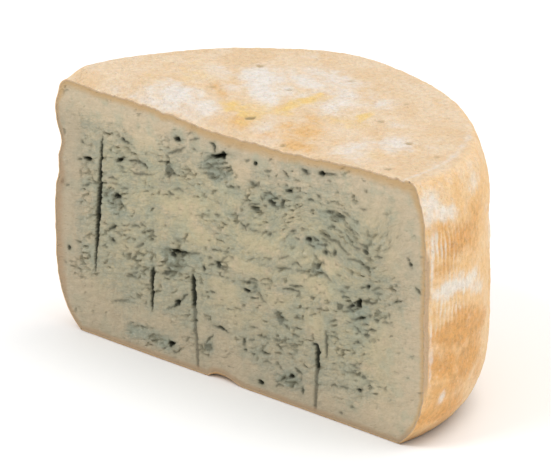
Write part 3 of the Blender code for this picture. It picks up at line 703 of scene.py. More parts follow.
# Short mould strokes between the curd grains: how dark, width, then x and z of the points on each.
STROKES = (
    (0.7, 1, -85, 122.8, -81, 122.2), (0.6, 0.9, -117, 105.2, -109.6, 105),
    (0.7, 1.3, -122, 102.4, -119, 103.6), (0.55, 0.8, -90, 125, -88, 124.4),
    (0.8, 1, -82, 111.8, -78, 112.7, -74, 113.2, -70, 112.4, -67.5, 111),
    (0.6, 0.9, -82, 106.5, -78, 105.6, -74, 105.8, -70, 107.2, -64.5, 108), (0.5, 1, -90, 107, -85, 106.5),
    (0.6, 1.1, -97.5, 98, -94.5, 98.8, -91.5, 98.2), (0.5, 0.9, -96, 95, -92, 95.2, -88, 96),
    (0.5, 0.9, -88, 93.8, -83.5, 94.6), (0.8, 1.3, -94.5, 85.5, -93, 87.5, -90, 90),
    (0.6, 1.3, -116.5, 88.6, -113.5, 90), (0.6, 1, -132, 84.6, -129, 86),
    (0.7, 1, -80, 74, -76.5, 75, -73.5, 74.4), (0.6, 1, -72.5, 77, -70, 76),
    (0.5, 0.9, -68, 73.5, -65, 75, -62, 73), (0.6, 1, -77.5, 61.5, -74, 63.4, -70.5, 66),
    (0.5, 1, -84, 55.5, -80, 56.8), (0.6, 1.1, -83, 42.6, -80, 43.4, -76.5, 44.6),
    (0.6, 0.9, -79, 46, -75.5, 47.4), (0.5, 1.5, -94, 25, -88, 26.5, -83, 28.5),
    (0.5, 1, -70, 41, -66, 42.6), (0.5, 1.1, -62, 62, -60, 59), (0.5, 1.2, -66, 69, -62, 70.4),
    (0.9, 1.3, -20, 138, -17.4, 137.6, -16, 135.8, -15.6, 133.6),
    (0.5, 1.3, -25, 121.4, -20, 123.8, -15, 126.8, -10, 128.2),
    (0.6, 1.2, -35, 135.4, -31, 137.2, -27.6, 138.2), (0.55, 1.2, -33, 131.4, -30, 130.6),
    (0.6, 1.1, -52, 123.6, -47, 126.2, -43, 128, -39, 130.4), (0.5, 1, -45, 126, -41, 127.4),
    (0.8, 1.5, -53.5, 116.5, -51.8, 119), (0.8, 1.7, -52.5, 113, -50.5, 117),
    (0.75, 1.5, -54, 110.5, -51.5, 112), (0.7, 1.4, -49.5, 112, -46.5, 112.4),
    (0.5, 1.2, -54, 122.5, -51, 121), (0.55, 1.2, -25, 118.6, -21, 119.2, -18, 120.6, -15.6, 120),
    (0.5, 1, -22, 117.4, -17, 118), (0.7, 1.3, -7, 115.6, -3.4, 116.6, -1, 116), (0.5, 1.1, 1, 118, 3, 117),
    (0.5, 1.2, -47, 103.6, -43, 104.8, -40, 104), (0.65, 1.4, -51, 101.4, -47.6, 100.8),
    (0.6, 1.2, 6.4, 134.6, 10.4, 135.4), (0.6, 1.3, 21.6, 132, 26, 132.6), (0.5, 1, 24, 130, 25, 129),
    (0.7, 1.2, 36.2, 135.8, 38.6, 134, 39.6, 132.4), (0.75, 1.3, 22, 119.4, 26, 120.2, 30, 119),
    (0.65, 1.2, 28.6, 117, 31.4, 118.4), (0.65, 1.4, 35, 114, 38, 115), (0.6, 1.2, 21, 111, 23.4, 111.6),
    (0.6, 1.2, 19, 117, 20.5, 114), (0.7, 1.2, 10.5, 109.4, 14, 110.6, 18, 111.6),
    (0.7, 1.2, 4, 97.2, 6.6, 95.6, 7.6, 93.8), (0.65, 1.1, 7.6, 95.4, 10.4, 97.8),
    (0.5, 1, 10.8, 95, 18, 95.8), (0.6, 1.6, 24.4, 95.8, 28, 96.4), (0.6, 1.4, 42.6, 102.2, 46, 103.6),
    (0.6, 1.2, 46, 99.4, 49, 98.8), (0.5, 1.3, -16, 97, -11.6, 97.8),
    (0.5, 1, 34, 83.6, 37.6, 85.6, 41, 87.4), (0.55, 1.2, 43, 83, 47, 84.8, 50, 83),
    (0.55, 1.1, 30.6, 77.8, 36, 78.8, 42, 80), (0.5, 1.1, 22, 81, 27, 82), (0.5, 1.4, -45, 73.4, -41.6, 74),
    (0.6, 1.2, -37, 68, -32, 69.8, -27, 70.6), (0.7, 1.5, -12, 67.6, -8.6, 66),
    (0.5, 1.1, -11, 70.6, -8.6, 72.8, -6.4, 75), (0.5, 1.1, -5, 75.6, -1, 75),
    (0.5, 1.2, -7.4, 61.4, -5, 62), (0.6, 1.2, -21, 70, -17.6, 71), (0.6, 1.2, -20, 65.6, -16.6, 66.8),
    (0.6, 1.2, 11, 65.4, 14, 66.6, 16.4, 66), (0.55, 1.4, 13, 61, 16.6, 62.4),
    (0.5, 1.1, 16, 60, 20, 56.6, 23, 54.8), (0.5, 1, 12, 57.6, 15, 59), (0.75, 1.3, -19, 50.8, -15.6, 51),
    (0.7, 1.4, -53, 55.4, -49, 56.4), (0.5, 1.1, -36, 52, -30, 54),
    (0.8, 1.3, -42, 38.6, -39, 42, -36.6, 44), (0.6, 1, -48, 34.6, -52, 31.4),
    (0.7, 1.4, -17.4, 25, -20, 22, -22.6, 19), (0.7, 1.7, -24, 18, -22, 15),
    (0.8, 1.7, 6.4, 22.6, 8.4, 22.8), (0.7, 1.1, 12, 21.6, 14.6, 22.6), (0.5, 1.2, 10, 29.4, 13.6, 30.6),
    (0.6, 1.3, 11, 37.6, 16.6, 38.8), (0.5, 1.1, 18, 33.4, 22, 34.6, 26, 34),
    (0.65, 1.3, 29, 34.6, 34.6, 36.4), (0.7, 1.4, 31.6, 32, 34.6, 30.2), (0.5, 1.4, 19, 24.6, 26, 25.2),
    (0.5, 1, 21, 19.8, 27, 20.4), (0.6, 1.2, 33, 19.6, 35, 19), (0.6, 1.7, 30, 51, 33, 52),
    (0.6, 1.9, 31, 48, 35, 50), (0.65, 1.4, 36.6, 46, 39, 44), (0.65, 1.4, 39.6, 46, 40.6, 43.6),
    (0.6, 1.2, 43, 41, 48, 42), (0.5, 1.1, 44.6, 46, 47, 47), (0.55, 1.4, 44, 52, 49.6, 52.6),
    (0.6, 1.2, 34, 12, 37, 14, 40, 15), (0.6, 1.2, 30, 10.4, 33, 12), (0.55, 1.1, 31, 8, 36, 9.6),
    (0.8, 1.4, 45, 22.6, 48, 21.4, 50.6, 20.6), (0.8, 1.9, 50.4, 12.4, 51.4, 9.4), (0.5, 1, 49, 15, 50, 19),
    (0.75, 1.2, 36, 67.2, 42, 67.8, 48, 68.6), (0.75, 1.2, 41, 70, 46, 71, 51, 72.2),
    (0.75, 1.3, 66, 142, 71, 142.6, 76.6, 143.6), (0.5, 1.4, 70, 138.4, 72, 138.6),
    (0.5, 1.6, 97.4, 139.4, 99, 139.6), (0.5, 1, 94, 128.6, 98, 129.2), (0.65, 1.3, 61, 128.4, 63.4, 127.6),
    (0.75, 1.5, 55, 123.6, 59, 124.6), (0.5, 1.3, 45.6, 122.6, 49.6, 123.6),
    (0.5, 1.1, 81, 123, 85.6, 121.8), (0.55, 1.1, 82, 116.4, 86, 115, 90, 112.6),
    (0.6, 1.2, 71, 112.8, 76, 113.6), (0.5, 1.1, 77, 112.6, 81, 111.6),
    (0.7, 1.5, 94, 108.4, 98, 108, 99.6, 106), (0.6, 1.3, 88, 106.4, 94, 105.6),
    (0.6, 1.3, 105, 103.6, 109.6, 104.8), (0.7, 1.4, 128.6, 109.2, 130.4, 107.8),
    (0.7, 1.5, 59, 103, 63, 102), (0.6, 1.3, 55, 98, 60, 97), (0.6, 1.3, 62, 99.6, 70, 101),
    (0.6, 1.4, 64, 107, 68, 106.4, 72, 105, 77, 105.2, 80, 102.6, 85, 99.4), (0.5, 1.1, 66, 104, 71, 103),
    (0.55, 1.3, 85, 97, 90, 98, 95, 98.2, 99, 95.6, 102, 93.4), (0.5, 1.4, 57, 82.6, 60, 83.6),
    (0.5, 1.3, 65, 85.2, 68.6, 83, 72.6, 80.8), (0.5, 1.3, 60, 93.6, 61, 91),
    (0.5, 1.4, 76.6, 86, 80, 86.6), (0.65, 1.6, 82.6, 80.6, 86.6, 81), (0.5, 1.1, 94.6, 83, 98, 84.4),
    (0.5, 1.2, 103, 84, 108, 86.4, 111, 86.8), (0.5, 1.1, 104.6, 82.6, 110, 83.6),
    (0.6, 1.2, 119.6, 81.4, 123, 82.6), (0.75, 1.5, 134.8, 94, 137, 92.4, 138.6, 90.8),
    (0.55, 1.1, 79.6, 76.8, 83, 77.4), (0.55, 1.1, 80.6, 74, 86, 75),
    (0.75, 1.4, 94, 75.2, 99, 76.2, 105, 76.8), (0.8, 1.8, 93.6, 74.6, 94.6, 76.6),
    (0.75, 1.3, 77, 69.6, 77.8, 66.6, 80, 67.6, 81.4, 69.4), (0.5, 1, 81, 65.6, 86, 67.6),
    (0.65, 1.6, 99, 68.6, 102.6, 69.6), (0.7, 1.8, 104.6, 67.2, 107.6, 67.8),
    (0.5, 1.3, 111, 67.4, 115, 68), (0.5, 1.9, 114.6, 74, 115.6, 71.6), (0.6, 1.5, 101, 60, 105, 61.4),
    (0.65, 1.4, 89, 58.8, 91.6, 57.6, 93.4, 56), (0.6, 1.4, 96.6, 55.4, 101, 56.8),
    (0.55, 1.3, 86, 68.8, 88, 67.2), (0.5, 1.2, 88, 63, 92, 64), (0.5, 1.2, 84, 61, 87, 60),
    (0.5, 1.2, 95, 61.4, 99, 62.6), (0.6, 1.2, 71, 57.2, 74, 58.2, 76.6, 59.2),
    (0.55, 1.1, 72, 55, 76.6, 56), (0.5, 1, 71.6, 51.6, 76.6, 51.4),
    (0.55, 1.2, 86, 36.4, 90, 36, 93.6, 35.4), (0.5, 1, 83, 31, 90, 31.8, 97, 31.4),
    (0.6, 1.4, 94.6, 31.4, 98, 31), (0.6, 1.3, 72.6, 19.8, 77, 20.4), (0.55, 1, 79.6, 21, 85, 22.4),
    (0.6, 1.3, 87, 11, 90, 11.6), (0.5, 1.3, 79, 5.6, 81, 6), (0.7, 1.2, 59.4, 4.6, 61, 2.6),
    (0.6, 1.3, -48, 6.6, -46, 6.4),
)

# Where the mould has spread as a haze: (x, z, half length, half height, how strong).
HAZE = (
    (-30, 65, 12, 7, 0.6), (-47, 54, 10, 6, 0.8), (-92, 82, 12, 8, 1), (-60, 96, 14, 8, 0.4),
    (-66, 14, 14, 6, 0.4), (13, 90, 8, 5, 0.4), (-100, 45, 12, 6, 0.4), (-68, 11, 26, 9, 0.7),
    (-5, 115, 10, 6, 0.4), (55, 108, 8, 7, 0.4), (-80, 45, 14, 12, 0.4), (-14, 126, 14, 11, 1.25),
    (-51, 115, 6, 8, 0.7), (-45, 134, 10, 6, 0.4), (-46, 62, 15, 9, 1.25), (-14, 68, 9, 6, 0.55),
    (-55, 50, 12, 8, 0.45), (-40, 38, 10, 7, 0.4), (-95, 88, 9, 6, 0.95), (-110, 75, 7, 30, 0.35),
    (-110, 115, 6, 5, 0.4), (-80, 44, 9, 6, 0.5), (-90, 27, 12, 4, 0.4), (-66, 40, 5, 12, 0.4),
    (-84, 108, 10, 6, 0.4), (-21, 17, 6, 7, 0.55), (28, 117, 12, 7, 0.8), (15, 108, 8, 4, 0.5),
    (40, 128, 16, 12, 0.4), (13, 62, 7, 6, 0.65), (34, 48, 6, 6, 0.7), (40, 14, 13, 8, 0.8),
    (22, 28, 14, 12, 0.3), (52, 139, 8, 5, 0.4), (72, 119, 18, 6, 0.7), (60, 100, 10, 6, 1),
    (85, 108, 22, 12, 0.5), (62, 86, 6, 7, 0.75), (100, 94, 16, 8, 0.45), (105, 84, 16, 6, 0.6),
    (93, 68, 16, 9, 0.85), (95, 58, 12, 6, 0.6), (118, 76, 10, 7, 0.4), (44, 78, 10, 8, 0.35),
    (88, 33, 12, 5, 0.3), (82, 16, 14, 6, 0.3), (62, 22, 6, 16, 0.35), (8, 98, 8, 4, 0.25),
    (60, 136, 40, 8, 0.3), (-70, 75, 12, 8, 0.3),
)

# Clean cream curd between the veins, with hardly any mould: (x, z, half length, half height, how clean).
CLEAN = (
    (-6, 26, 12, 11, 0.6), (14, 40, 9, 6, 0.4), (-44, 94, 16, 6, 0.8), (-30, 82, 18, 6, 0.7),
    (5, 72, 26, 5, 0.75), (-8, 53, 12, 9, 0.95), (-26, 25, 6, 9, 0.9), (0, 12, 14, 7, 0.5),
    (60, 74, 16, 6, 0.95), (72, 90, 11, 5, 0.95), (60, 52, 9, 8, 0.7), (118, 45, 22, 26, 1),
    (118, 12, 26, 14, 1), (128, 128, 14, 20, 0.9), (104, 132, 16, 12, 0.7), (-92, 140, 48, 10, 1),
    (-128, 110, 9, 34, 0.9), (-131, 60, 8, 40, 0.8), (-110, 20, 26, 16, 1), (-60, 22, 26, 6, 0.7),
    (4, 128, 7, 10, 0.85), (-30, 100, 22, 5, 0.5), (20, 88, 22, 6, 0.6), (-84, 60, 9, 6, 0.6),
    (-70, 128, 12, 8, 0.8), (30, 58, 12, 5, 0.6), (0, 40, 10, 5, 0.7), (125, 70, 14, 8, 0.6),
    (121, 106, 12, 12, 0.8),
)


def spaced(line, count):
    """A line of points run through again with this many, evenly spaced along it."""
    gaps = np.linalg.norm(np.diff(line, axis=0), axis=1)
    run = np.concatenate([[0.0], np.cumsum(gaps)])
    wanted = np.linspace(0.0, run[-1], count)
    return np.column_stack([np.interp(wanted, run, line[:, axis]) for axis in (0, 1)])


def cut_patch(outline):
    """The cut face's grid of places (x, z): each of its four edges blended over to the one opposite."""
    x, z = outline[:, 0] / WHEEL_RADIUS, (outline[:, 1] - MIDDLE_HEIGHT) / MIDDLE_HEIGHT
    corners = [int(np.argmax(x - z)), int(np.argmax(x + z)), int(np.argmax(z - x)), int(np.argmax(-x - z))]
    turned = np.roll(outline, -corners[0], axis=0)
    turned = np.vstack([turned, turned[:1]])
    breaks = [(corner - corners[0]) % len(outline) for corner in corners] + [len(outline)]
    right, top, left, base = (turned[low:high + 1] for low, high in zip(breaks, breaks[1:]))
    right, left = spaced(right, PASTE_ROWS), spaced(left[::-1], PASTE_ROWS)
    top, base = spaced(top[::-1], PASTE_COLUMNS), spaced(base, PASTE_COLUMNS)
    across = np.linspace(0.0, 1.0, PASTE_COLUMNS)[None, :, None]
    up = np.linspace(0.0, 1.0, PASTE_ROWS)[:, None, None]
    between = (1 - up) * base[None] + up * top[None]
    between = between + (1 - across) * left[:, None] + across * right[:, None]
    corner_part = (1 - up) * ((1 - across) * base[0] + across * base[-1])
    return between - corner_part - up * ((1 - across) * top[0] + across * top[-1])


def reach_of_line(x, z, course):
    """Distance from each place to a course of straight runs, less its half width at the nearest point."""
    nearest = np.full_like(x, 99.0)
    for (x0, z0, half0), (x1, z1, half1) in zip(course, course[1:]):
        run_x, run_z = x1 - x0, z1 - z0
        share = ((x - x0) * run_x + (z - z0) * run_z) / max(run_x**2 + run_z**2, 1e-6)
        share = np.clip(share, 0.0, 1.0)
        apart = np.hypot(x - x0 - share * run_x, z - z0 - share * run_z)
        nearest = np.minimum(nearest, apart - half0 - share * (half1 - half0))
    return nearest


def tapered(width, places, source):
    """A stroke's course: full width in its middle, fine at its ends, a straight one given a slight bend."""
    if len(places) == 2:
        run = places[1] - places[0]
        bend = np.array([-run[1], run[0]]) * source.uniform(-0.12, 0.12)
        places = np.insert(places, 1, 0.5 * (places[0] + places[1]) + bend, axis=0)
    halves = np.full(len(places), 0.5 * width)
    halves[[0, -1]] = 0.12 * width
    return np.column_stack([places, halves])


def grain_course(x, z):
    """Coordinates along and across the run of the curd: it climbs rightwards and dips at the top right."""
    dip = -0.62 * (x - 82.0) * np.exp(-(((x - 82.0) / 34.0) ** 2) - ((z - 108.0) / 17.0) ** 2)
    return x / 1.9, z - 0.2 * x - dip + 2.0 * value_noise(x, z, 31.0, 115)


def grain_gaps(across, along, size, seed):
    """Distance in mm from the gap between two grains: how much further the second nearest middle is."""
    cells = 256
    middles = np.random.default_rng(seed).uniform(0.08, 0.92, (cells, cells, 2))
    column, row = np.floor(across / size).astype(int), np.floor(along / size).astype(int)
    nearest, second = np.full_like(across, 9.0), np.full_like(across, 9.0)
    for right in (-1, 0, 1):
        for up in (-1, 0, 1):
            middle = middles[(column + right) % cells, (row + up) % cells]
            apart = np.hypot(
                across / size - column - right - middle[..., 0], along / size - row - up - middle[..., 1]
            )
            second = np.minimum(second, np.maximum(nearest, apart))
            nearest = np.minimum(nearest, apart)
    return (second - nearest) * size


def paste_fields(x, z, inset):
    """The mould and the relief of the cut face, worked out at each point of its grid.

    vein is the distance to the edge of the nearest mark, dark how strong that mark is, open how
    far its hollow is open, haze how far the mould has spread, clot where it fills the gaps between
    curd grains, band the tan edge under the rind from 0 to 1, shade_and_dark_edges the painted shade
    towards the base and the darker curd beside the rind, dull_and_shade where the tan edge is duller
    at the left and painted darker along the base as shade, core how far inside the rind a place
    lies, grain the coordinates that the curd's pattern follows, and sunk the depth of the relief.
    """
    source = np.random.default_rng(7)
    shift_x, shift_z = (layered_noise(x, z, 3.0, seed, 2) for seed in (101, 103))
    vein, dark, opened, sunk = (np.full_like(x, start) for start in (8.0, 0.0, 0.0, 0.0))

    def near(places, margin):
        """The part of the grid in a box round these places, with a margin."""
        low, high = np.min(places, axis=0) - margin, np.max(places, axis=0) + margin
        return (x > low[0]) & (x < high[0]) & (z > low[1]) & (z < high[1])

    def press_in(place, reach, strength, openness, depth):
        """Keep a mark wherever it is the nearest one, and its hollow wherever it is the deepest."""
        closer = reach < vein[place]
        for kept, value in ((vein, reach), (dark, strength), (opened, openness)):
            kept[place] = np.where(closer, value, kept[place])
        sunk[place] = np.maximum(sunk[place], depth)

    for strength, *numbers in CHANNELS:
        course = np.reshape(numbers, (-1, 3))
        place = near(course, 9.0)
        reach = reach_of_line(x[place] + 0.1 * shift_x[place], z[place], course)
        press_in(place, reach, strength, strength, 2.6 * ease(reach, 0.5, -1.1) * strength)
    for strength, width, *numbers in STROKES:
        places = np.array(numbers, dtype=float).reshape(-1, 2)
        place = near(places, 9.0)
        course = tapered(width, places, source)
        reach = reach_of_line(x[place] + 0.8 * shift_x[place], z[place] + 0.6 * shift_z[place], course)
        press_in(place, reach, strength, 0.0, strength * ease(reach, 0.5, -0.5))
    for pocket_x, pocket_z, length, height, slope, depth, strength in POCKETS:
        place = near([(pocket_x, pocket_z)], length + 7.0)
        lean = np.radians(slope)
        right = x[place] + 0.55 * shift_x[place] - pocket_x
        up = z[place] + 0.55 * shift_z[place] - pocket_z
        along = (right * np.cos(lean) + up * np.sin(lean)) / (0.5 * length)
        across = (up * np.cos(lean) - right * np.sin(lean)) / (0.5 * height)
        ragged = 0.42 * layered_noise(x[place] / 1.5, z[place], 1.9, 105, 2)
        ratio = np.hypot(along, across) + ragged + 0.12
        openness = ease(strength, 0.6, 1.0)
        hollow = (0.6 + openness * (depth - 0.6)) * ease(ratio, 1.1, 0.25)
        press_in(place, (ratio - 1.0) * 0.5 * min(length, height), strength, openness, hollow)

    patchy = 0.35 * layered_noise(x, z, 9.0, 107, 3)
    hazy, clean = (patches(x, z, rows, patchy, 1.3, 0.2) for rows in (HAZE, CLEAN))
    haze = np.maximum(1.15 * hazy, 0.46 * ease(inset, 5.0, 20.0))
    haze = haze - 0.65 * np.clip(clean - 0.9 * np.clip(haze - 0.46, 0.0, 1.0), 0.0, 1.0)
    # Curd grains stand proud of the gaps between them, most where the paste crumbled under the knife.
    right, up = grain_course(x, z)
    gap = grain_gaps(right + 0.5 * layered_noise(x, z, 2.6, 109, 2), up, 3.3, 111)
    wide = 0.35 * layered_noise(x, z, 11.0, 119, 2)
    spread = np.maximum(haze, 0.24 * ease(inset, 14.0, 38.0))
    lowest = 0.28 - 0.62 * np.clip(spread, -0.3, 0.8)
    soft = ease(layered_noise(right, up, 2.8, 117, 4) + wide, lowest, lowest + 0.5)
    line = ease(gap, 1.5, 0.2) * ease(value_noise(right, up, 2.3, 121), -0.6, 0.5)
    clot = soft * (0.32 + 0.3 * ease(haze, 0.5, 1.0) + 0.75 * line - 0.6 * ease(gap, 1.3, 2.4))
    crumbled = 0.4 + 0.6 * ease(haze + 0.4 * patchy, -0.1, 0.6)
    relief = 0.6 * ease(gap, 1.0, 0.0) + 0.75 * layered_noise(right, up * 1.4, 4.2, 113, 4)
    # The tan edge is widest under the top and down the left, and wider up the right end than at the base.
    from_top = top_height(x, 0.0 * x) - z
    band_width = 2.0 + 2.8 * bell(x, 5.0, 40.0) + 3.0 * ease(x, 80.0, 125.0)
    band_width = 3.6 + band_width * ease(from_top, 16.0, 5.0)
    band_width = band_width + 1.2 * ease(x, 120.0, 134.0) * ease(z, 30.0, 50.0)
    at_left = ease(x, -118.0, -130.0) * ease(z, 14.0, 28.0) * ease(z, 104.0, 88.0)
    band_width = band_width + 4.4 * at_left
    # Painted shade towards the base, and darker curd beside the rind at the right, the top and the left.
    lower_part = ease(z, 105.0, 0.0) * (1.0 - 0.6 * ease(x, 40.0, 105.0))
    at_base = ease(z, 26.0, 2.0) * (1.0 - 0.2 * ease(x, 60.0, 105.0))
    right_edge = 0.5 * ease(x, 60.0, 128.0) * ease(z, 150.0, 125.0)
    right_and_top = right_edge + 0.25 * ease(from_top, 24.0, 4.0)
    left_edge = 0.95 * ease(x, -100.0, -128.0) * ease(z, 146.0, 122.0)
    dull_left = ease(x, -112.0, -126.0) * ease(z, 140.0, 120.0)
    return {
        "vein": vein, "dark": dark, "open": opened, "haze": haze, "clot": clot,
        "band": np.clip(1.0 - inset / band_width, 0.0, 1.0),
        "shade_and_dark_edges": np.max([lower_part, at_base, right_and_top, left_edge], axis=0),
        "dull_and_shade": np.maximum(dull_left, ease(z, 14.0, 5.0)), "core": ease(inset, 4.0, 42.0),
        "grain": np.stack([right, up, 0.0 * x], axis=-1), "sunk": sunk + crumbled * (relief + 0.9 * clot),
    }


def border(grid):
    """The edge of a grid once round: up its right, along its top, down its left and along its base."""
    return np.concatenate([grid[:-1, -1], grid[-1, :0:-1], grid[:0:-1, 0], grid[0, :-1]])


def build_paste(outline):
    """A plug with the cut face in front, walls that lap just behind the ring of rind, and a flat back."""
    patch = cut_patch(outline + outline_normals(outline) * PASTE_LAP)
    x, z = patch[..., 0], patch[..., 1]
    inset = np.full(x.shape, 60.0)
    for edge_x, edge_z in border(patch)[::3]:
        inset = np.minimum(inset, np.hypot(x - edge_x, z - edge_z))
    fields = paste_fields(x, z, inset)
    depth = cut_waves(x, z) + fields.pop("sunk") * ease(inset, 0.2, 2.5)
    front = np.stack([x, depth + 0.05 * ease(inset, 0.9, 0.0), z], axis=-1)
    rim, back = border(front), PLUG_DEPTH - BACK_GAP
    everything, quads, fan = closed_behind(front, [rim, at_depth(drawn_in(rim[:, [0, 2]]), back)], back)
    carried = {}
    for name, values in fields.items():
        rest = np.zeros((len(everything) - x.size, *values.shape[2:]))
        carried[name] = np.concatenate([values.reshape(x.size, *values.shape[2:]), rest])
    return closed_piece("paste", everything, quads, fan, carried)


def paste_finish():
    """Moist blue-veined paste: cream curd, a grey-green haze, clots in the gaps, dark strokes of mould."""
    outer_curd, inner_curd = (0.625, 0.505, 0.345), (0.52, 0.445, 0.275)
    green_curd, pink_curd = (0.42, 0.43, 0.305), (0.60, 0.47, 0.31)
    shade_and_dark_curd, warm_tan, dull_shaded_tan = (0.38, 0.32, 0.22), (0.50, 0.325, 0.15), (0.38, 0.262, 0.155)
    haze_colour, smudge, net = (0.265, 0.288, 0.222), (0.207, 0.193, 0.121), (0.106, 0.099, 0.057)
    fleck_highlight, crumb_shade = (0.54, 0.505, 0.40), (0.60, 0.62, 0.61)
    mould, pit = (0.052, 0.053, 0.029), (0.019, 0.021, 0.011)
    made, shader = new_finish("blue_veined_paste")
    tree = made.node_tree
    grain = node(tree, "ShaderNodeAttribute", {"attribute_name": "grain"}).outputs["Vector"]
    mottle = node(tree, "ShaderNodeGroup", {"node_tree": dry_mottle}, Vector=grain, Size=3.6).outputs
    fine, cloudy = swing(tree, grain, 1.1, 4.0, 0.6), swing(tree, grain, 6.5, 4.0, 0.6)
    haze, vein, dark = field(tree, "haze"), field(tree, "vein"), field(tree, "dark")

    curd = blend(tree, field(tree, "core"), outer_curd, inner_curd)
    tinted = noise(tree, millimetres(tree), 12.0, 5.0, 0.62)
    curd = coat(tree, curd, green_curd, eased(tree, tinted, 0.50, 0.66), 0.55)
    curd = coat(tree, curd, pink_curd, eased(tree, tinted, 0.48, 0.36), 0.6)
    # Painted shade towards the base, and darker curd beside the rind.
    curd = coat(tree, curd, shade_and_dark_curd, field(tree, "shade_and_dark_edges"), 0.65)
    crumbs = spots(tree, grain, 3.0, 6.0, 0.75, 0.36, 0.64)
    curd = coat(tree, curd, crumb_shade, crumbs, plus(tree, times(tree, haze, 0.25), 0.4), "MULTIPLY")
    # Haze: broad grey-green clouds where the mould has spread, thin and broken elsewhere.
    unevenness = plus(tree, times(tree, haze, 2.2), 0.6)
    clouded = plus(tree, plus(tree, haze, times(tree, cloudy, unevenness)), times(tree, fine, 1.1))
    curd = coat(tree, curd, haze_colour, eased(tree, clouded, 0.05, 1.1), 0.9)
    # Pale flecks where the haze lies: painted highlights on the crumbs.
    highlight_flecks = times(tree, spots(tree, grain, 1.9, 4.0, 0.65, 0.52, 0.68), haze)
    curd = coat(tree, curd, fleck_highlight, highlight_flecks, 0.5)
    curd = coat(tree, curd, haze_colour, times(tree, eased(tree, vein, 6.5, 0.0), dark), 0.3)
    # Clots of mould between the grains, frayed at their edges and darker in their middles.
    clotted = plus(tree, field(tree, "clot"), times(tree, fine, 1.5))
    # The middles of the grains between the clots are lit pale: painted highlights.
    curd = coat(tree, curd, fleck_highlight, eased(tree, clotted, -0.15, -0.6), 0.5)
    curd = coat(tree, curd, smudge, eased(tree, clotted, -0.1, 0.95), 0.57)
    curd = coat(tree, curd, net, eased(tree, clotted, 0.65, 1.4), 0.65)
    # Strokes and pockets: a soft halo, the frayed mould itself, and painted shade deep in the open hollows.
    curd = coat(tree, curd, smudge, times(tree, eased(tree, vein, 1.8, -0.3), dark), 0.5)
    frayed = plus(tree, vein, times(tree, fine, 2.0))
    curd = coat(tree, curd, mould, eased(tree, frayed, 0.8, -0.5), dark)
    curd = coat(tree, curd, pit, times(tree, eased(tree, vein, 0.25, -0.6), field(tree, "open")), 0.85)
    band = plus(tree, field(tree, "band"), times(tree, cloudy, 0.5))
    # The tan edge: duller at the left, and painted darker along the base as shade.
    rim_tan = blend(tree, field(tree, "dull_and_shade"), warm_tan, dull_shaded_tan)
    curd = coat(tree, curd, rim_tan, eased(tree, band, 0.02, 0.85), 0.9)
    rough = node(tree, "ShaderNodeMapRange", Value=mottle["Mask"], To_Min=0.50, To_Max=0.70).outputs[0]
    height = maths(tree, "SUBTRACT", mottle["Height"], times(tree, eased(tree, clotted, 0.2, 1.0), 0.4))
    bump = node(tree, "ShaderNodeBump", Strength=0.9, Distance=0.0012, Height=height).outputs[0]
    fill(
        shader, Base_Color=curd, Roughness=rough, Normal=bump, Specular_IOR_Level=0.32,
        Subsurface_Weight=0.08, Subsurface_Radius=(1.0, 0.75, 0.45), Subsurface_Scale=0.0015,
    )
    return made


paste = build_paste(paste_outline)
paste.data.materials.append(paste_finish())
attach(paste, "root")
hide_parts("cheese")


# STUDIO
# A plain pale floor, soft light from high behind the right end and high in front of the cut, and the
# camera where the photograph was taken from: high to the right of the cut, far off with a long lens.
# Places and distances are in metres here, the lens and the sensor in millimetres, the azimuth and the
# elevation in degrees, and the camera's turn in radians.

CAMERA_AZIMUTH = 43.40
CAMERA_ELEVATION = 20.69
CAMERA_DISTANCE = 3.705
CAMERA_LENS = 433.3
CAMERA_TURN = 0.001
SENSOR_WIDTH = 36.0
# What the camera looks at, in metres from the wheel's axis, and then how far to its right and up.
AIM_POINT = (0.0, 0.07, 0.07)
AIM_SHIFT = (-0.0258, 0.0018)
LIGHT_AIM = (0.0, 0.0, 0.07)
FLOOR_HALF = 9.0
FLOOR_GAP = 0.0004


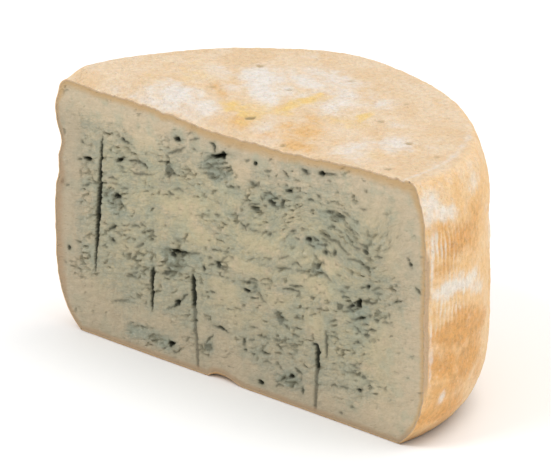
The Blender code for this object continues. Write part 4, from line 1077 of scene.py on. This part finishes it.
def build_camera():
    """A camera on a sphere round the aim point, looking at it."""
    turn, rise = np.radians(CAMERA_AZIMUTH), np.radians(CAMERA_ELEVATION)
    back = Vector((np.sin(turn) * np.cos(rise), -np.cos(turn) * np.cos(rise), np.sin(rise)))
    right = Vector((np.cos(turn), np.sin(turn), 0.0))
    up = back.cross(right)
    axis = Vector((*WHEEL_AXIS, 0.0)) * METRES
    aim = axis + Vector(AIM_POINT) + AIM_SHIFT[0] * right + AIM_SHIFT[1] * up
    camera = new_object("camera", bpy.data.cameras.new("camera"))
    camera.data.lens = CAMERA_LENS
    camera.data.sensor_width = SENSOR_WIDTH
    facing = Matrix((right, up, back)).transposed() @ Matrix.Rotation(CAMERA_TURN, 3, "Z")
    camera.matrix_world = Matrix.Translation(aim + back * CAMERA_DISTANCE) @ facing.to_4x4()
    bpy.context.scene.camera = camera


def build_floor():
    """A wide, flat, near-white floor just under the base."""
    mesh = bpy.data.meshes.new("floor")
    corners = [(FLOOR_HALF * x, FLOOR_HALF * y, 0.0) for x, y in ((-1, -1), (1, -1), (1, 1), (-1, 1))]
    mesh.from_pydata(corners, [], [(0, 1, 2, 3)])
    floor = new_object("floor", mesh)
    floor.location.z = -FLOOR_GAP
    made, shader = new_finish("pale_floor")
    fill(shader, Base_Color=(0.97, 0.97, 0.97, 1.0), Roughness=0.9, Specular_IOR_Level=0.1)
    mesh.materials.append(made)


def soft_light(name, place, size, power, colour):
    """A square soft box at a place in metres, facing the middle of the cheese."""
    light = new_object(name, bpy.data.lights.new(name, "AREA"))
    light.data.shape = "SQUARE"
    light.data.size = size
    light.data.energy = power
    light.data.color = colour
    light.location = place
    light.rotation_euler = (Vector(place) - Vector(LIGHT_AIM)).to_track_quat("Z", "Y").to_euler()


def build_light():
    """Even light: white surroundings, a key high behind the right end, one high in front of the cut."""
    world = bpy.data.worlds.new("surroundings")
    bpy.context.scene.world = world
    world.use_nodes = True
    fill(world.node_tree.nodes["Background"], Color=(1.0, 1.0, 1.0, 1.0), Strength=0.74)
    soft_light("key", (0.7, 0.7, 2.3), 1.8, 25.5, (1.0, 0.985, 0.965))
    soft_light("front", (-0.5, -1.6, 2.3), 1.0, 23.0, (0.98, 0.99, 1.0))
    bpy.context.scene.view_settings.view_transform = "Standard"


build_camera()
build_floor()
build_light()
